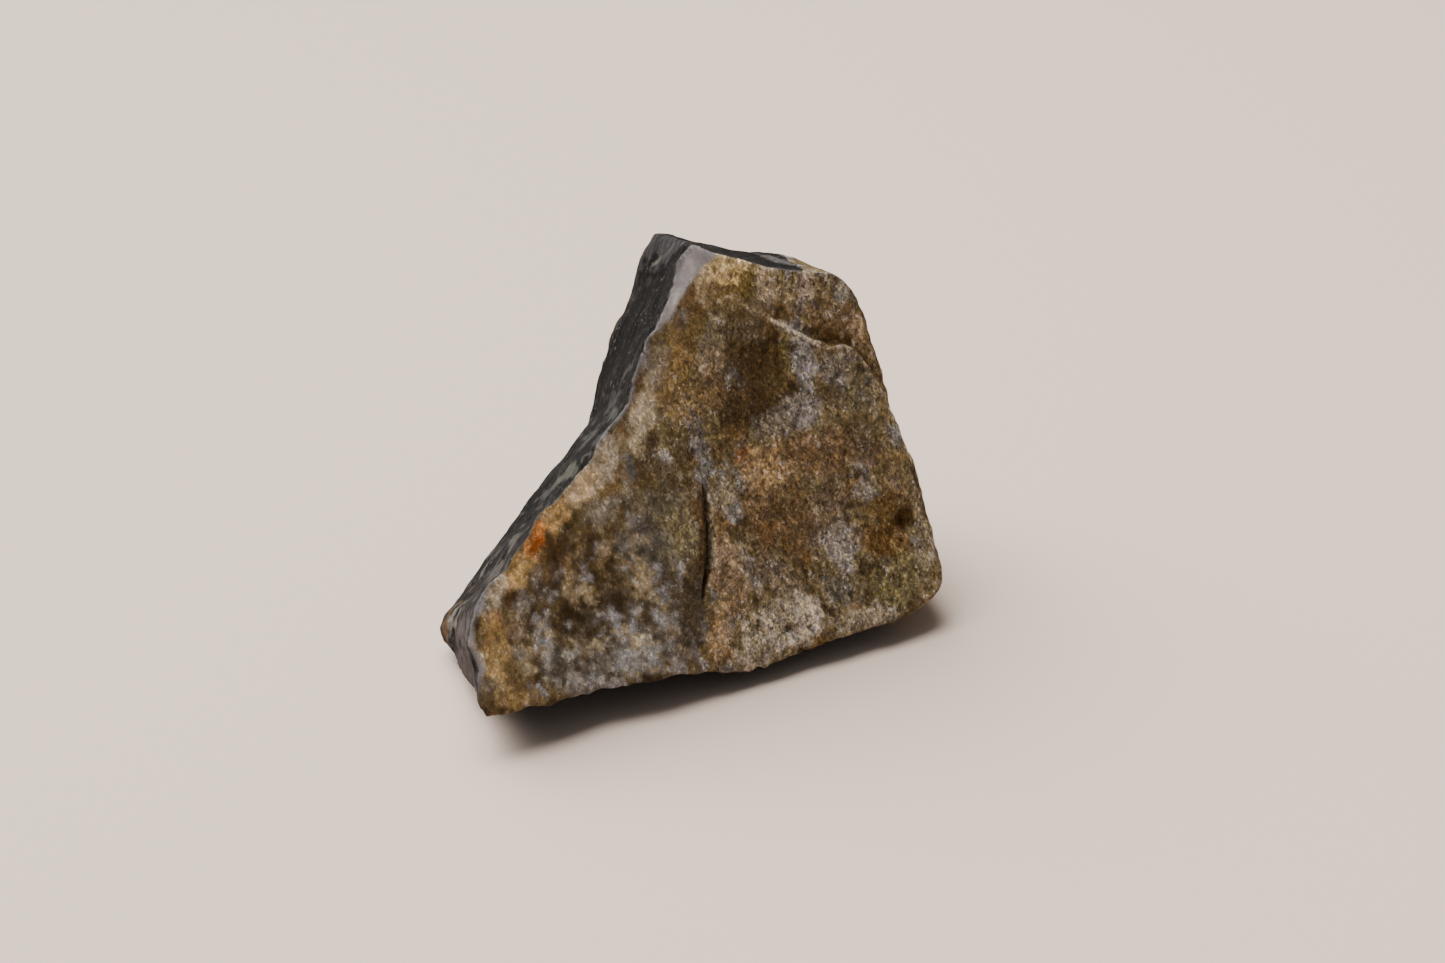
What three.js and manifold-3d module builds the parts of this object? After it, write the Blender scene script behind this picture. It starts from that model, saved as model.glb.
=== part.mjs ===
// A rough agate: one broken piece of a chalcedony nodule, resting on a small flat spot.
// Millimetres, +Z up. The origin lies on the surface that carries the stone, under the middle of
// the stone's box.
//
// The stone is the space inside a ring of faces. Each face gives a distance, positive outside it,
// and the largest distance says how far a point is outside the stone. A net of triangles is
// drawn over the place where that distance is zero.
import * as THREE from "three";
import { mergeVertices } from "three/addons/utils/BufferGeometryUtils.js";
import Module from "manifold-3d";

// ---- Driving dimensions ------------------------------------------------------------------

// The middle of the stone's box in the frame of the places below. It becomes the origin.
const MIDDLE = [-0.15, -2.54];

// The large weathered face looks this far round from -Y towards +X, and leans back this far.
const FACE_TURN = THREE.MathUtils.degToRad(31.33);
const FACE_LEAN = THREE.MathUtils.degToRad(32.17);

// Places on the weathered face are [across, up]: across is level, up follows the slope, and a
// third value, deep, goes into the stone. This is where all three are zero.
const FACE_ORIGIN = new THREE.Vector3(7.27, -13.75, 4.99);

// The edge between the weathered face and the broken left wall, from the peak down.
const LEFT_EDGE = [
  [5.1, 43.1], [2.7, 41.3], [1.3, 39.2], [-0.6, 36.6], [-3.6, 34.2], [-5.5, 31.6], [-7.5, 28.3],
  [-10.6, 26.1], [-12.5, 24.7], [-13.3, 23.2], [-17.2, 21.1], [-22.1, 18.6], [-26.3, 14.8],
  [-29.3, 13.6], [-31.9, 10.9], [-33.5, 7.8], [-33.0, 5.0], [-34.1, 2.2], [-33.9, -1.0],
];
// Where the same wall has got to at LEFT_DEPTH.
const LEFT_BACK = [
  [6.6, 48.0], [5.2, 45.5], [4.3, 40.9], [1.1, 36.9], [-1.3, 32.6], [-2.9, 29.0], [-6.2, 26.4],
  [-13.9, 21.4], [-20.2, 17.0], [-24.1, 13.9], [-27.0, 12.6], [-28.3, 10.9], [-28.5, 9.0],
  [-28.3, 7.2], [-29.3, 4.6], [-28.6, 2.0],
];
const LEFT_DEPTH = 19;

// The edge along the top of the weathered face, from right to left, and the top's far line.
const TOP_EDGE = [
  [24.0, 33.9], [21.1, 36.0], [16.5, 37.3], [13.5, 38.4], [10.6, 40.0], [7.2, 41.6], [5.1, 43.1],
];
const TOP_BACK = [
  [29.0, 35.4], [26.8, 37.3], [24.5, 38.8], [21.4, 40.4], [17.6, 41.3], [14.2, 42.7],
  [11.2, 43.8], [8.9, 44.9], [5.5, 45.8],
];
const TOP_DEPTH = 10;

// The rounded right shoulder, from the bottom up. Deeper in it moves by the drift below.
const RIGHT_EDGE = [
  [24.6, -4.0], [24.6, -1.5], [24.8, 2.6], [24.9, 7.3], [25.1, 10.8], [25.0, 14.0], [24.7, 17.3],
  [24.5, 21.4], [24.7, 26.9], [24.7, 31.0], [24.7, 36.0],
];
const RIGHT_DRIFT = [6.0, 2.0];

// The lower edge of the weathered face, from left to right. The underside runs in from it.
const BOTTOM_EDGE = [
  [-34.5, -0.1], [-28.0, -0.8], [-21.0, -1.2], [-12.0, -1.6], [-7.8, -2.4], [-2.2, -3.9],
  [2.7, -3.6], [9.0, -3.1], [16.4, -3.0], [20.0, -2.7], [25.5, -2.6],
];
const BOTTOM_DRIFT = [5.0, 8.0];
const DRIFT_DEPTH = 20;

// The faces that turn away from the weathered one: outward direction, a point on the face, and
// for the swollen ones the radius of the swelling and, on a barrel shape, the way it bends.
const BACK_LEFT = {
  out: [-0.747, 0.664, -0.017],
  at: [-8.7, 21.1, 5.0],
  radius: 60,
  bend: [0.485, 0.545, -0.69],
};
const BACK = { out: [0.2, 0.98, -0.05], at: [10.0, 25.0, 15.0], radius: 60 };
const BACK_RIGHT = { out: [0.85, 0.52, 0.05], at: [23.8, 15.5, 14.0], radius: 50 };
const UNDER_BACK = { out: [0.05, 0.62, -0.78], at: [3.1, 12.0, 0.0] };
const UNDER_LEFT = { out: [-0.1, 0.0, -0.995], at: [-8.9, 1.0, 0.0] };
const UNDER_RIGHT = { out: [0.3, 0.1, -0.95], at: [15.1, -2.0, 0.0] };

// How far each kind of edge is worn round.
const SHARP = 0.25;
const CHIPPED = 0.7;
const WORN = 3.0;

// The step on the upper right of the weathered face, from its left end down the right side. The
// stone above it sinks into the step by LEDGE_DROP and rises again over LEDGE_REACH.
const LEDGE_LINE = [
  [12.6, 32.6], [15.0, 30.6], [18.2, 28.3], [20.1, 28.1], [21.3, 27.0], [22.6, 24.6],
  [24.2, 20.2], [25.2, 14.0],
];
const LEDGE_DROP = 1.1;
const LEDGE_REACH = 4.0;
const LEDGE_STEP = 0.5;

// The open crack in the weathered face.
const CRACK_LINE = [[-1.7, 17.7], [-1.8, 15.7], [-2.3, 12.6], [-3.4, 9.3], [-5.8, 5.2]];
const CRACK_WIDTH = 0.9;
const CRACK_FLOOR_SHARE = 0.3; // of the width, at the bottom of the crack
const CRACK_DEPTH = 3.2;
const CRACK_PIECES = 10;
const SPINE_STEPS = 80; // places along its middle line that its floor is drawn in to

// Shallow hollows in the weathered face: place, radius and depth.
const HOLLOWS = [
  { at: [21.4, 7.8], radius: 1.9, depth: 0.7 },
  { at: [8.0, 29.5], radius: 4.5, depth: 0.5 },
  { at: [-20.0, 6.5], radius: 5.0, depth: 0.5 },
];

// Lumps of the weathered skin and ripples of the broken faces: spacing and height.
const SKIN_LUMPS = [[13.0, 0.9], [6.0, 0.5], [3.2, 0.22]];
const BREAK_RIPPLES = [[9.0, 0.5], [3.6, 0.2]];
const SCOOP = 0.8;

// The mesh: the spacing of its net and the box that the net is looked for in. The box starts where
// none of its small cubes holds two separate bits of the surface.
const SPACING = 1.45;
const BOX_LOW = [-31.25, -34.5, -0.75];
const BOX_HIGH = [31.0, 31.0, 45.0];
const RELAX_ROUNDS = 8;
const SHARPEN_ROUNDS = 3;
const CROWDED = 0.35 * SPACING; // no vertex is moved to less than this from another
const TURN_REACH = 1.8 * SPACING; // and no side is turned if it gets longer than this
const SLIVER_AREA = 0.06 * SPACING * SPACING;
const LEAST_FACING = 0.5; // a triangle's normal times the surface's: less and it counts as folded
const MOST_PUSH = 1; // the furthest that one round pulls a vertex onto the surface
const FLAT_WITHIN = 0.02; // vertices this near to the flat spot are put on it
const MERGE_WITHIN = 1e-4; // and vertices this near to each other become one

const STONE_COLOUR = 0x7a6244;
const STONE_ROUGHNESS = 0.75;

// ---- Noise ---------------------------------------------------------------------------------

const HASH_PRIMES = [374761393, 668265263, 1440662683];
const HASH_MIX = 1274126177;
const SLOPE_BITS = 10;
const SLOPE_MOST = 2 ** SLOPE_BITS - 1;
const LAYER_SHIFT = 7; // each layer of noise is read this many cells further on

// The slope that a lattice corner gives to the noise round it, from a hash of its place.
function cornerPull(x, y, z, dx, dy, dz) {
  const [primeX, primeY, primeZ] = HASH_PRIMES;
  let hash = Math.imul(x, primeX) ^ Math.imul(y, primeY) ^ Math.imul(z, primeZ);
  hash = Math.imul(hash ^ (hash >>> 13), HASH_MIX);
  hash ^= hash >>> 16;
  const slopeX = (2 * (hash & SLOPE_MOST)) / SLOPE_MOST - 1;
  const slopeY = (2 * ((hash >>> SLOPE_BITS) & SLOPE_MOST)) / SLOPE_MOST - 1;
  const slopeZ = (2 * ((hash >>> (2 * SLOPE_BITS)) & SLOPE_MOST)) / SLOPE_MOST - 1;
  return slopeX * dx + slopeY * dy + slopeZ * dz;
}

const ease = (t) => t * t * t * (t * (t * 6 - 15) + 10);

// Smooth noise between about -1 and 1.
function noise(x, y, z) {
  const cellX = Math.floor(x);
  const cellY = Math.floor(y);
  const cellZ = Math.floor(z);
  let total = 0;
  for (let i = 0; i < 2; i++) {
    for (let j = 0; j < 2; j++) {
      for (let k = 0; k < 2; k++) {
        const dx = x - cellX - i;
        const dy = y - cellY - j;
        const dz = z - cellZ - k;
        const weight = ease(1 - Math.abs(dx)) * ease(1 - Math.abs(dy)) * ease(1 - Math.abs(dz));
        total += weight * cornerPull(cellX + i, cellY + j, cellZ + k, dx, dy, dz);
      }
    }
  }
  return total;
}

// Several layers of noise, each with its own spacing and height.
function layeredNoise({ x, y, z }, layers) {
  return layers.reduce(
    (sum, [spacing, height], layer) =>
      sum + height * noise(x / spacing + LAYER_SHIFT * layer, y / spacing, z / spacing),
    0,
  );
}

// ---- Distances -----------------------------------------------------------------------------

const SAME = 1e-9; // two distances that differ by less count as equal

// Distance in the plane from [x, y] to an open line whose end pieces go on for ever. It is
// positive on the right of the line's direction, which is outside the stone.
function sideOf(line, x, y) {
  let nearest = Infinity;
  let signed = 0;
  const last = line.length - 2;
  for (let i = 0; i <= last; i++) {
    const [x0, y0] = line[i];
    const length = Math.hypot(line[i + 1][0] - x0, line[i + 1][1] - y0);
    const ux = (line[i + 1][0] - x0) / length;
    const uy = (line[i + 1][1] - y0) / length;
    const along = (x - x0) * ux + (y - y0) * uy;
    const start = i === 0 ? -Infinity : 0;
    const end = i === last ? Infinity : length;
    const held = Math.min(Math.max(along, start), end);
    const across = (x - x0) * uy - (y - y0) * ux;
    const distance = Math.hypot(across, along - held);
    // Two pieces meet at a corner: there the one that the point lies further beside decides.
    const closer = distance < nearest - SAME;
    const tied = Math.abs(distance - nearest) <= SAME && Math.abs(across) > Math.abs(signed);
    if (closer || tied) signed = across;
    if (closer) nearest = distance;
  }
  return Math.sign(signed) * nearest;
}

const moved = (line, [dx, dy]) => line.map(([x, y]) => [x + dx, y + dy]);

const rightBack = moved(RIGHT_EDGE, RIGHT_DRIFT);
const bottomBack = moved(BOTTOM_EDGE, BOTTOM_DRIFT);

// A wall keeps its slant from this share of its depth to that one.
const WALL_START = -0.3;
const WALL_END = 1.6;

// A wall that runs in from an edge of the weathered face to a line deeper in the stone.
function wall(edge, back, depth, { across, up, deep }) {
  const share = THREE.MathUtils.clamp(deep / depth, WALL_START, WALL_END);
  return (1 - share) * sideOf(edge, across, up) + share * sideOf(back, across, up);
}

// A flat or swollen face: how far points are outside it.
function faceAt({ out, at, radius = Infinity, bend }) {
  const normal = new THREE.Vector3(...out).normalize();
  const crown = new THREE.Vector3(...at);
  const arm = new THREE.Vector3();
  return (point) => {
    const height = normal.dot(arm.copy(point).sub(crown));
    const away = bend ? arm.dot(new THREE.Vector3(...bend)) ** 2 : arm.lengthSq() - height ** 2;
    return height + away / (2 * radius);
  };
}

const faceOut = new THREE.Vector3(
  Math.sin(FACE_TURN) * Math.cos(FACE_LEAN),
  -Math.cos(FACE_TURN) * Math.cos(FACE_LEAN),
  Math.sin(FACE_LEAN),
);
const faceAcross = new THREE.Vector3(Math.cos(FACE_TURN), Math.sin(FACE_TURN), 0);
const faceUp = faceOut.clone().cross(faceAcross);

function onFace(point) {
  const arm = point.clone().sub(FACE_ORIGIN);
  return { across: arm.dot(faceAcross), up: arm.dot(faceUp), deep: -arm.dot(faceOut) };
}

// How far the weathered face lies under its plane at one place, without its lumps.
function faceHollow(across, up) {
  let sunk = 0;
  const above = -sideOf(LEDGE_LINE, across, up);
  const reach = THREE.MathUtils.smoothstep(across, LEDGE_LINE[0][0], LEDGE_LINE[2][0]);
  const step = THREE.MathUtils.smoothstep(above, 0, LEDGE_STEP);
  sunk += LEDGE_DROP * reach * step * Math.exp(-Math.max(above, 0) / LEDGE_REACH);
  for (const { at, radius, depth } of HOLLOWS) {
    const away = Math.hypot(across - at[0], up - at[1]) / radius;
    sunk += depth * Math.exp(-away * away);
  }
  return sunk;
}

const backLeft = faceAt(BACK_LEFT);
const back = faceAt(BACK);
const backRight = faceAt(BACK_RIGHT);
const underBack = faceAt(UNDER_BACK);
const underLeft = faceAt(UNDER_LEFT);
const underRight = faceAt(UNDER_RIGHT);

// Every face but the one the stone rests on: how worn its edges are, and its distance. The broken
// faces start to ripple at RIPPLE_START of their depth, so that their front edge stays as it is.
const RIPPLE_START = 1 / 3;
const rippling = (deep, depth) => THREE.MathUtils.smoothstep(deep, 0, depth * RIPPLE_START);
const FACES = [
  { worn: 0, distance: (p, f, skin) => skin + faceHollow(f.across, f.up) - f.deep },
  {
    worn: SHARP,
    distance: (p, f, skin, ripple) =>
      wall(LEFT_EDGE, LEFT_BACK, LEFT_DEPTH, f) + (ripple + SCOOP) * rippling(f.deep, LEFT_DEPTH),
  },
  {
    worn: SHARP,
    distance: (p, f, skin, ripple) =>
      wall(TOP_EDGE, TOP_BACK, TOP_DEPTH, f) + ripple * rippling(f.deep, TOP_DEPTH),
  },
  { worn: WORN, distance: (p, f, skin) => wall(RIGHT_EDGE, rightBack, DRIFT_DEPTH, f) + skin / 2 },
  { worn: CHIPPED, distance: (p, f) => wall(BOTTOM_EDGE, bottomBack, DRIFT_DEPTH, f) },
  { worn: CHIPPED, distance: (p, f, skin) => backLeft(p) + skin },
  { worn: WORN, distance: (p, f, skin) => back(p) + 1.5 * skin },
  { worn: WORN, distance: (p, f, skin) => backRight(p) + 1.5 * skin },
  { worn: WORN, distance: (p, f, skin, ripple) => underBack(p) + ripple },
  { worn: CHIPPED, distance: (p, f, skin, ripple) => underLeft(p) + ripple / 2 },
  { worn: CHIPPED, distance: (p, f, skin, ripple) => underRight(p) + ripple / 2 },
];
const REST = FACES.length; // the number that stands for the flat spot, whose distance is -z

function faceDistances(point) {
  const onTheFace = onFace(point);
  const skin = layeredNoise(point, SKIN_LUMPS);
  const ripple = layeredNoise(point, BREAK_RIPPLES);
  return FACES.map(({ distance }) => distance(point, onTheFace, skin, ripple));
}

// The larger of two distances, with the edge between the two faces worn round.
function wornMax(a, b, worn) {
  const blend = worn > 0 ? Math.max(worn - Math.abs(a - b), 0) / worn : 0;
  return Math.max(a, b) + (blend * blend * worn) / 4;
}

// How far a point is outside the stone, without the flat spot.
function bodyDistance(point) {
  const distances = faceDistances(point);
  return distances.reduce((most, d, i) => wornMax(most, d, FACES[i].worn));
}

const stoneDistance = (point) => Math.max(bodyDistance(point), -point.z);

// ---- Mesh ----------------------------------------------------------------------------------

const STEP = 0.02; // between the two points that a slope is taken from
const EDGE_ROUNDS = 4;
const CORNER_ROUNDS = 6;
const LEAST_ANGLE_AREA = 0.02; // faces that meet more flatly than this have no edge to go to
const LEAST_CORNER_VOLUME = 0.1; // the same for the three faces of a corner
const EDGE_MISS = CHIPPED / 3; // a vertex may end this far off the worn surface
const AXES = [new THREE.Vector3(1, 0, 0), new THREE.Vector3(0, 1, 0), new THREE.Vector3(0, 0, 1)];

// A distance at a point, and how it grows along each axis there.
function measure(distance, point) {
  const value = distance(point);
  const slopes = AXES.map(
    (axis) => (distance(point.clone().addScaledVector(axis, STEP)) - value) / STEP,
  );
  return { value, slope: new THREE.Vector3(...slopes) };
}

// A net over the stone. Each small cube that the surface runs through holds one vertex, and each
// side of the cubes that it crosses gives two triangles. A vertex that has been put on a sharp edge
// is listed in edges, with the two distances that are zero along it. One that has been put on a
// corner is listed with three.
function stoneNet() {
  const counts = BOX_LOW.map((low, axis) => Math.ceil((BOX_HIGH[axis] - low) / SPACING) + 1);
  const numberOf = ([i, j, k]) => (i * counts[1] + j) * counts[2] + k;
  const placeOf = (cube) =>
    new THREE.Vector3(...cube.map((steps, axis) => BOX_LOW[axis] + steps * SPACING));
  const cubes = [];
  for (let i = 0; i < counts[0]; i++) {
    for (let j = 0; j < counts[1]; j++) {
      for (let k = 0; k < counts[2]; k++) {
        cubes.push([i, j, k]);
      }
    }
  }
  const values = cubes.map((cube) => stoneDistance(placeOf(cube)));
  const crossings = new Map();
  const quads = [];
  for (const cube of cubes) {
    for (let axis = 0; axis < 3; axis++) {
      if (cube[axis] + 1 === counts[axis]) continue;
      const next = cube.map((steps, other) => steps + (other === axis ? 1 : 0));
      const [here, there] = [values[numberOf(cube)], values[numberOf(next)]];
      if (here < 0 === there < 0) continue;
      const crossing = placeOf(cube).lerp(placeOf(next), here / (here - there));
      const quad = [[0, 0], [1, 0], [1, 1], [0, 1]].map(([back, down]) => {
        const around = [...cube];
        around[(axis + 1) % 3] -= back;
        around[(axis + 2) % 3] -= down;
        return numberOf(around);
      });
      for (const owner of quad) {
        crossings.set(owner, [...(crossings.get(owner) ?? []), crossing]);
      }
      quads.push(here < 0 ? quad : quad.reverse());
    }
  }
  const order = new Map([...crossings.keys()].map((owner, i) => [owner, i]));
  const points = [...crossings.values()].map((places) =>
    places.reduce((sum, place) => sum.add(place), new THREE.Vector3()).divideScalar(places.length),
  );
  const triangles = quads.flatMap((quad) => {
    const [a, b, c, d] = quad.map((owner) => order.get(owner));
    return [[a, b, c], [a, c, d]];
  });
  return { points, triangles, edges: new Map() };
}

function areaVector(points, [a, b, c]) {
  const ab = points[b].clone().sub(points[a]);
  return ab.cross(points[c].clone().sub(points[a])).divideScalar(2);
}

// The place where both distances of an edge are zero, straight across from a point.
function acrossToEdge(point, edge) {
  const place = point.clone();
  for (let round = 0; round < EDGE_ROUNDS; round++) {
    const [a, b] = edge.map((distance) => measure(distance, place));
    const aa = a.slope.dot(a.slope);
    const ab = a.slope.dot(b.slope);
    const bb = b.slope.dot(b.slope);
    const area = aa * bb - ab * ab;
    if (area < LEAST_ANGLE_AREA) return null;
    place.addScaledVector(a.slope, -(bb * a.value - ab * b.value) / area);
    place.addScaledVector(b.slope, -(aa * b.value - ab * a.value) / area);
  }
  return Math.abs(stoneDistance(place)) < EDGE_MISS ? place : null;
}

// The place nearby where all three distances of a corner are zero.
function toCorner(point, corner) {
  const place = point.clone();
  for (let round = 0; round < CORNER_ROUNDS; round++) {
    const [a, b, c] = corner.map((distance) => measure(distance, place));
    const slopes = [a, b, c].flatMap(({ slope }) => slope.toArray());
    const rows = new THREE.Matrix3().set(...slopes);
    if (Math.abs(rows.determinant()) < LEAST_CORNER_VOLUME) return null;
    place.sub(new THREE.Vector3(a.value, b.value, c.value).applyMatrix3(rows.invert()));
  }
  return Math.abs(stoneDistance(place)) < EDGE_MISS ? place : null;
}

// Evens out the triangles: vertices slide over the surface, or along the edge that they are on.
function relax({ points, triangles, edges }) {
  for (let round = 0; round < RELAX_ROUNDS; round++) {
    const sums = points.map(() => ({ weight: 0, place: new THREE.Vector3() }));
    for (const triangle of triangles) {
      const area = areaVector(points, triangle).length();
      for (const a of triangle) {
        sums[a].weight += 3 * area;
        for (const b of triangle) sums[a].place.addScaledVector(points[b], area);
      }
    }
    points.forEach((point, i) => {
      const middle = sums[i].place.divideScalar(sums[i].weight);
      if (edges.get(i)?.length === 3) return;
      if (edges.has(i)) {
        point.copy(acrossToEdge(middle.lerp(point, 0.5), edges.get(i)) ?? point);
        return;
      }
      const { value, slope } = measure(stoneDistance, point);
      const steepness = slope.length();
      const normal = slope.divideScalar(steepness);
      const move = middle.sub(point);
      move.addScaledVector(normal, -move.dot(normal));
      point.add(move);
      point.addScaledVector(normal, -THREE.MathUtils.clamp(value / steepness, -MOST_PUSH, MOST_PUSH));
    });
  }
}

function neighbourLists({ points, triangles }) {
  const lists = points.map(() => new Set());
  for (const triangle of triangles) {
    for (const a of triangle) {
      triangle.filter((b) => b !== a).forEach((b) => lists[a].add(b));
    }
  }
  return lists.map((list) => [...list]);
}

// The number of the face that a point belongs to.
function faceOf(point) {
  const distances = faceDistances(point);
  const most = Math.max(...distances);
  return -point.z > most ? REST : distances.indexOf(most);
}

const distanceTo = (face) => (point) => (face === REST ? -point.z : faceDistances(point)[face]);

// The two distances that are both zero along the edge between two faces, if it is a sharp one.
function edgeBetween(faceA, faceB) {
  if (faceA === REST || faceB === REST) return [bodyDistance, distanceTo(REST)];
  const worn = Math.max(FACES[faceA].worn, FACES[faceB].worn);
  return worn < WORN ? [distanceTo(faceA), distanceTo(faceB)] : null;
}

// Every choice of three from a list.
function threesOf(list) {
  const threes = [];
  for (let i = 0; i < list.length; i++) {
    for (let j = i + 1; j < list.length; j++) {
      for (let k = j + 1; k < list.length; k++) {
        threes.push([list[i], list[j], list[k]]);
      }
    }
  }
  return threes;
}

// Puts the nearest vertex onto each corner where three faces meet in sharp edges.
function fillCorners(mesh) {
  const { points, edges } = mesh;
  const neighbours = neighbourLists(mesh);
  const faces = points.map(faceOf);
  const moves = [];
  points.forEach((point, i) => {
    const near = new Set([i, ...neighbours[i], ...neighbours[i].flatMap((n) => neighbours[n])]);
    const here = [...new Set([...near].map((n) => faces[n]))];
    for (const [a, b, c] of threesOf(here)) {
      const sharp = edgeBetween(a, b) && edgeBetween(b, c) && edgeBetween(c, a);
      const corner = [a, b, c].map(distanceTo);
      const place = sharp && toCorner(point, corner);
      if (place) moves.push({ i, corner, place, far: place.distanceTo(point) });
    }
  });
  moves.sort((a, b) => a.far - b.far);
  const taken = [...edges].filter(([, edge]) => edge.length === 3).map(([i]) => points[i]);
  for (const { i, corner, place, far } of moves) {
    const clear = taken.every((point) => place.distanceTo(point) > CROWDED);
    if (far > SPACING || !clear || edges.get(i)?.length === 3) continue;
    points[i].copy(place);
    edges.set(i, corner);
    taken.push(points[i]);
  }
}

// Puts the vertices nearest to each sharp edge onto it.
function sharpen(mesh) {
  const { points, edges } = mesh;
  const neighbours = neighbourLists(mesh);
  const faces = points.map(faceOf);
  const moves = [];
  points.forEach((point, i) => {
    const other = neighbours[i].map((n) => faces[n]).find((face) => face !== faces[i]);
    const edge = other === undefined || edges.has(i) ? null : edgeBetween(faces[i], other);
    const place = edge && acrossToEdge(point, edge);
    if (place) moves.push({ i, edge, place, far: place.distanceTo(point) });
  });
  moves.sort((a, b) => a.far - b.far);
  for (const { i, edge, place, far } of moves) {
    const crossing = neighbours[i].some((n) => faces[n] !== faces[i] && !edges.has(n));
    const clear = neighbours[i].every((n) => place.distanceTo(points[n]) > CROWDED);
    if (crossing && clear && far < SPACING) {
      points[i].copy(place);
      edges.set(i, edge);
    }
  }
}

// Turns the side between two triangles round where the other diagonal runs along a sharp edge.
function turnSides({ points, triangles, edges }) {
  const owner = new Map();
  const key = (a, b) => a * points.length + b;
  const claim = (t) => triangles[t].forEach((a, k) => owner.set(key(a, triangles[t][(k + 1) % 3]), t));
  triangles.forEach((_, t) => claim(t));
  const miss = (a, b) => Math.abs(stoneDistance(points[a].clone().lerp(points[b], 0.5)));
  const faulty = (triangle) => {
    const area = areaVector(points, triangle);
    const middle = triangle.reduce((sum, i) => sum.add(points[i]), new THREE.Vector3());
    const { slope } = measure(stoneDistance, middle.divideScalar(3));
    const sliver = area.length() < SLIVER_AREA;
    return sliver || area.normalize().dot(slope.normalize()) < LEAST_FACING;
  };
  for (const [edge, first] of [...owner]) {
    const a = Math.floor(edge / points.length);
    const b = edge % points.length;
    const second = owner.get(key(b, a));
    if (a > b || owner.get(edge) !== first || second === undefined) continue;
    const c = triangles[first].find((i) => i !== a && i !== b);
    const d = triangles[second].find((i) => i !== a && i !== b);
    if (!edges.has(c) || !edges.has(d) || owner.has(key(c, d)) || owner.has(key(d, c))) continue;
    if (points[c].distanceTo(points[d]) > TURN_REACH || miss(c, d) >= miss(a, b)) continue;
    const turned = [[a, d, c], [d, b, c]];
    if (turned.some(faulty)) continue;
    owner.delete(key(a, b));
    owner.delete(key(b, a));
    [triangles[first], triangles[second]] = turned;
    claim(first);
    claim(second);
  }
}

function stoneMesh() {
  const mesh = stoneNet();
  relax(mesh);
  fillCorners(mesh);
  for (let round = 0; round < SHARPEN_ROUNDS; round++) {
    sharpen(mesh);
    turnSides(mesh);
    relax(mesh);
    turnSides(mesh);
  }
  for (const point of mesh.points) {
    const onRest = -point.z > bodyDistance(point) - FLAT_WITHIN;
    if (onRest || point.z < FLAT_WITHIN) point.z = 0;
  }
  return mesh;
}

function stoneGeometry() {
  const { points, triangles } = stoneMesh();
  return new THREE.BufferGeometry().setFromPoints(points).setIndex(triangles.flat());
}

// ---- Crack ---------------------------------------------------------------------------------

// The open crack as a solid: a thin curved wedge that stands across the weathered face.
function crackWedge() {
  const line = CRACK_LINE.map(([across, up]) => new THREE.Vector3(across, up, 0));
  const spine = new THREE.CatmullRomCurve3(line);
  const side = (sign) =>
    Array.from({ length: CRACK_PIECES + 1 }, (_, i) => {
      const share = i / CRACK_PIECES;
      const reach = (sign * CRACK_WIDTH * Math.sin(Math.PI * share)) / 2;
      const { x, y } = spine.getPointAt(share);
      const along = spine.getTangentAt(share);
      return new THREE.Vector2(x - along.y * reach, y + along.x * reach);
    });
  const outline = new THREE.Shape([...side(1), ...side(-1).slice(1, -1).reverse()]);
  const height = CRACK_DEPTH + 2 * CRACK_WIDTH;
  const wedge = new THREE.ExtrudeGeometry(outline, { depth: height, bevelEnabled: false });
  const position = wedge.getAttribute("position");
  const spinePoints = spine.getSpacedPoints(SPINE_STEPS);
  for (let i = 0; i < position.count; i++) {
    if (position.getZ(i) > 0) continue;
    const corner = new THREE.Vector3().fromBufferAttribute(position, i);
    const [nearest] = spinePoints.sort((a, b) => a.distanceTo(corner) - b.distanceTo(corner));
    corner.lerp(nearest, 1 - CRACK_FLOOR_SHARE);
    position.setXYZ(i, corner.x, corner.y, corner.z);
  }
  const foot = FACE_ORIGIN.clone().addScaledVector(faceOut, -CRACK_DEPTH);
  const frame = new THREE.Matrix4().makeBasis(faceAcross, faceUp, faceOut).setPosition(foot);
  return wedge.applyMatrix4(frame);
}

const wasm = await Module();
wasm.setup();

function solidOf(geometry) {
  geometry.deleteAttribute("normal");
  geometry.deleteAttribute("uv");
  const { attributes, index } = mergeVertices(geometry, MERGE_WITHIN);
  const vertProperties = attributes.position.array;
  return new wasm.Manifold(
    new wasm.Mesh({ numProp: 3, vertProperties, triVerts: new Uint32Array(index.array) }),
  );
}

function geometryOf(solid) {
  const { vertProperties, triVerts } = solid.getMesh();
  const geometry = new THREE.BufferGeometry();
  geometry.setAttribute("position", new THREE.BufferAttribute(vertProperties, 3));
  geometry.setIndex(new THREE.BufferAttribute(triVerts, 1));
  geometry.computeVertexNormals();
  return geometry;
}

const cracked = solidOf(stoneGeometry()).subtract(solidOf(crackWedge()));
const agate = new THREE.Mesh(
  geometryOf(cracked),
  new THREE.MeshStandardMaterial({ color: STONE_COLOUR, roughness: STONE_ROUGHNESS, metalness: 0 }),
);
agate.name = "rough_agate";
agate.position.sub(new THREE.Vector3(...MIDDLE, 0));

const group = new THREE.Group();
group.add(agate);
export default group;
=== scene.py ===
import itertools
import math

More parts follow.
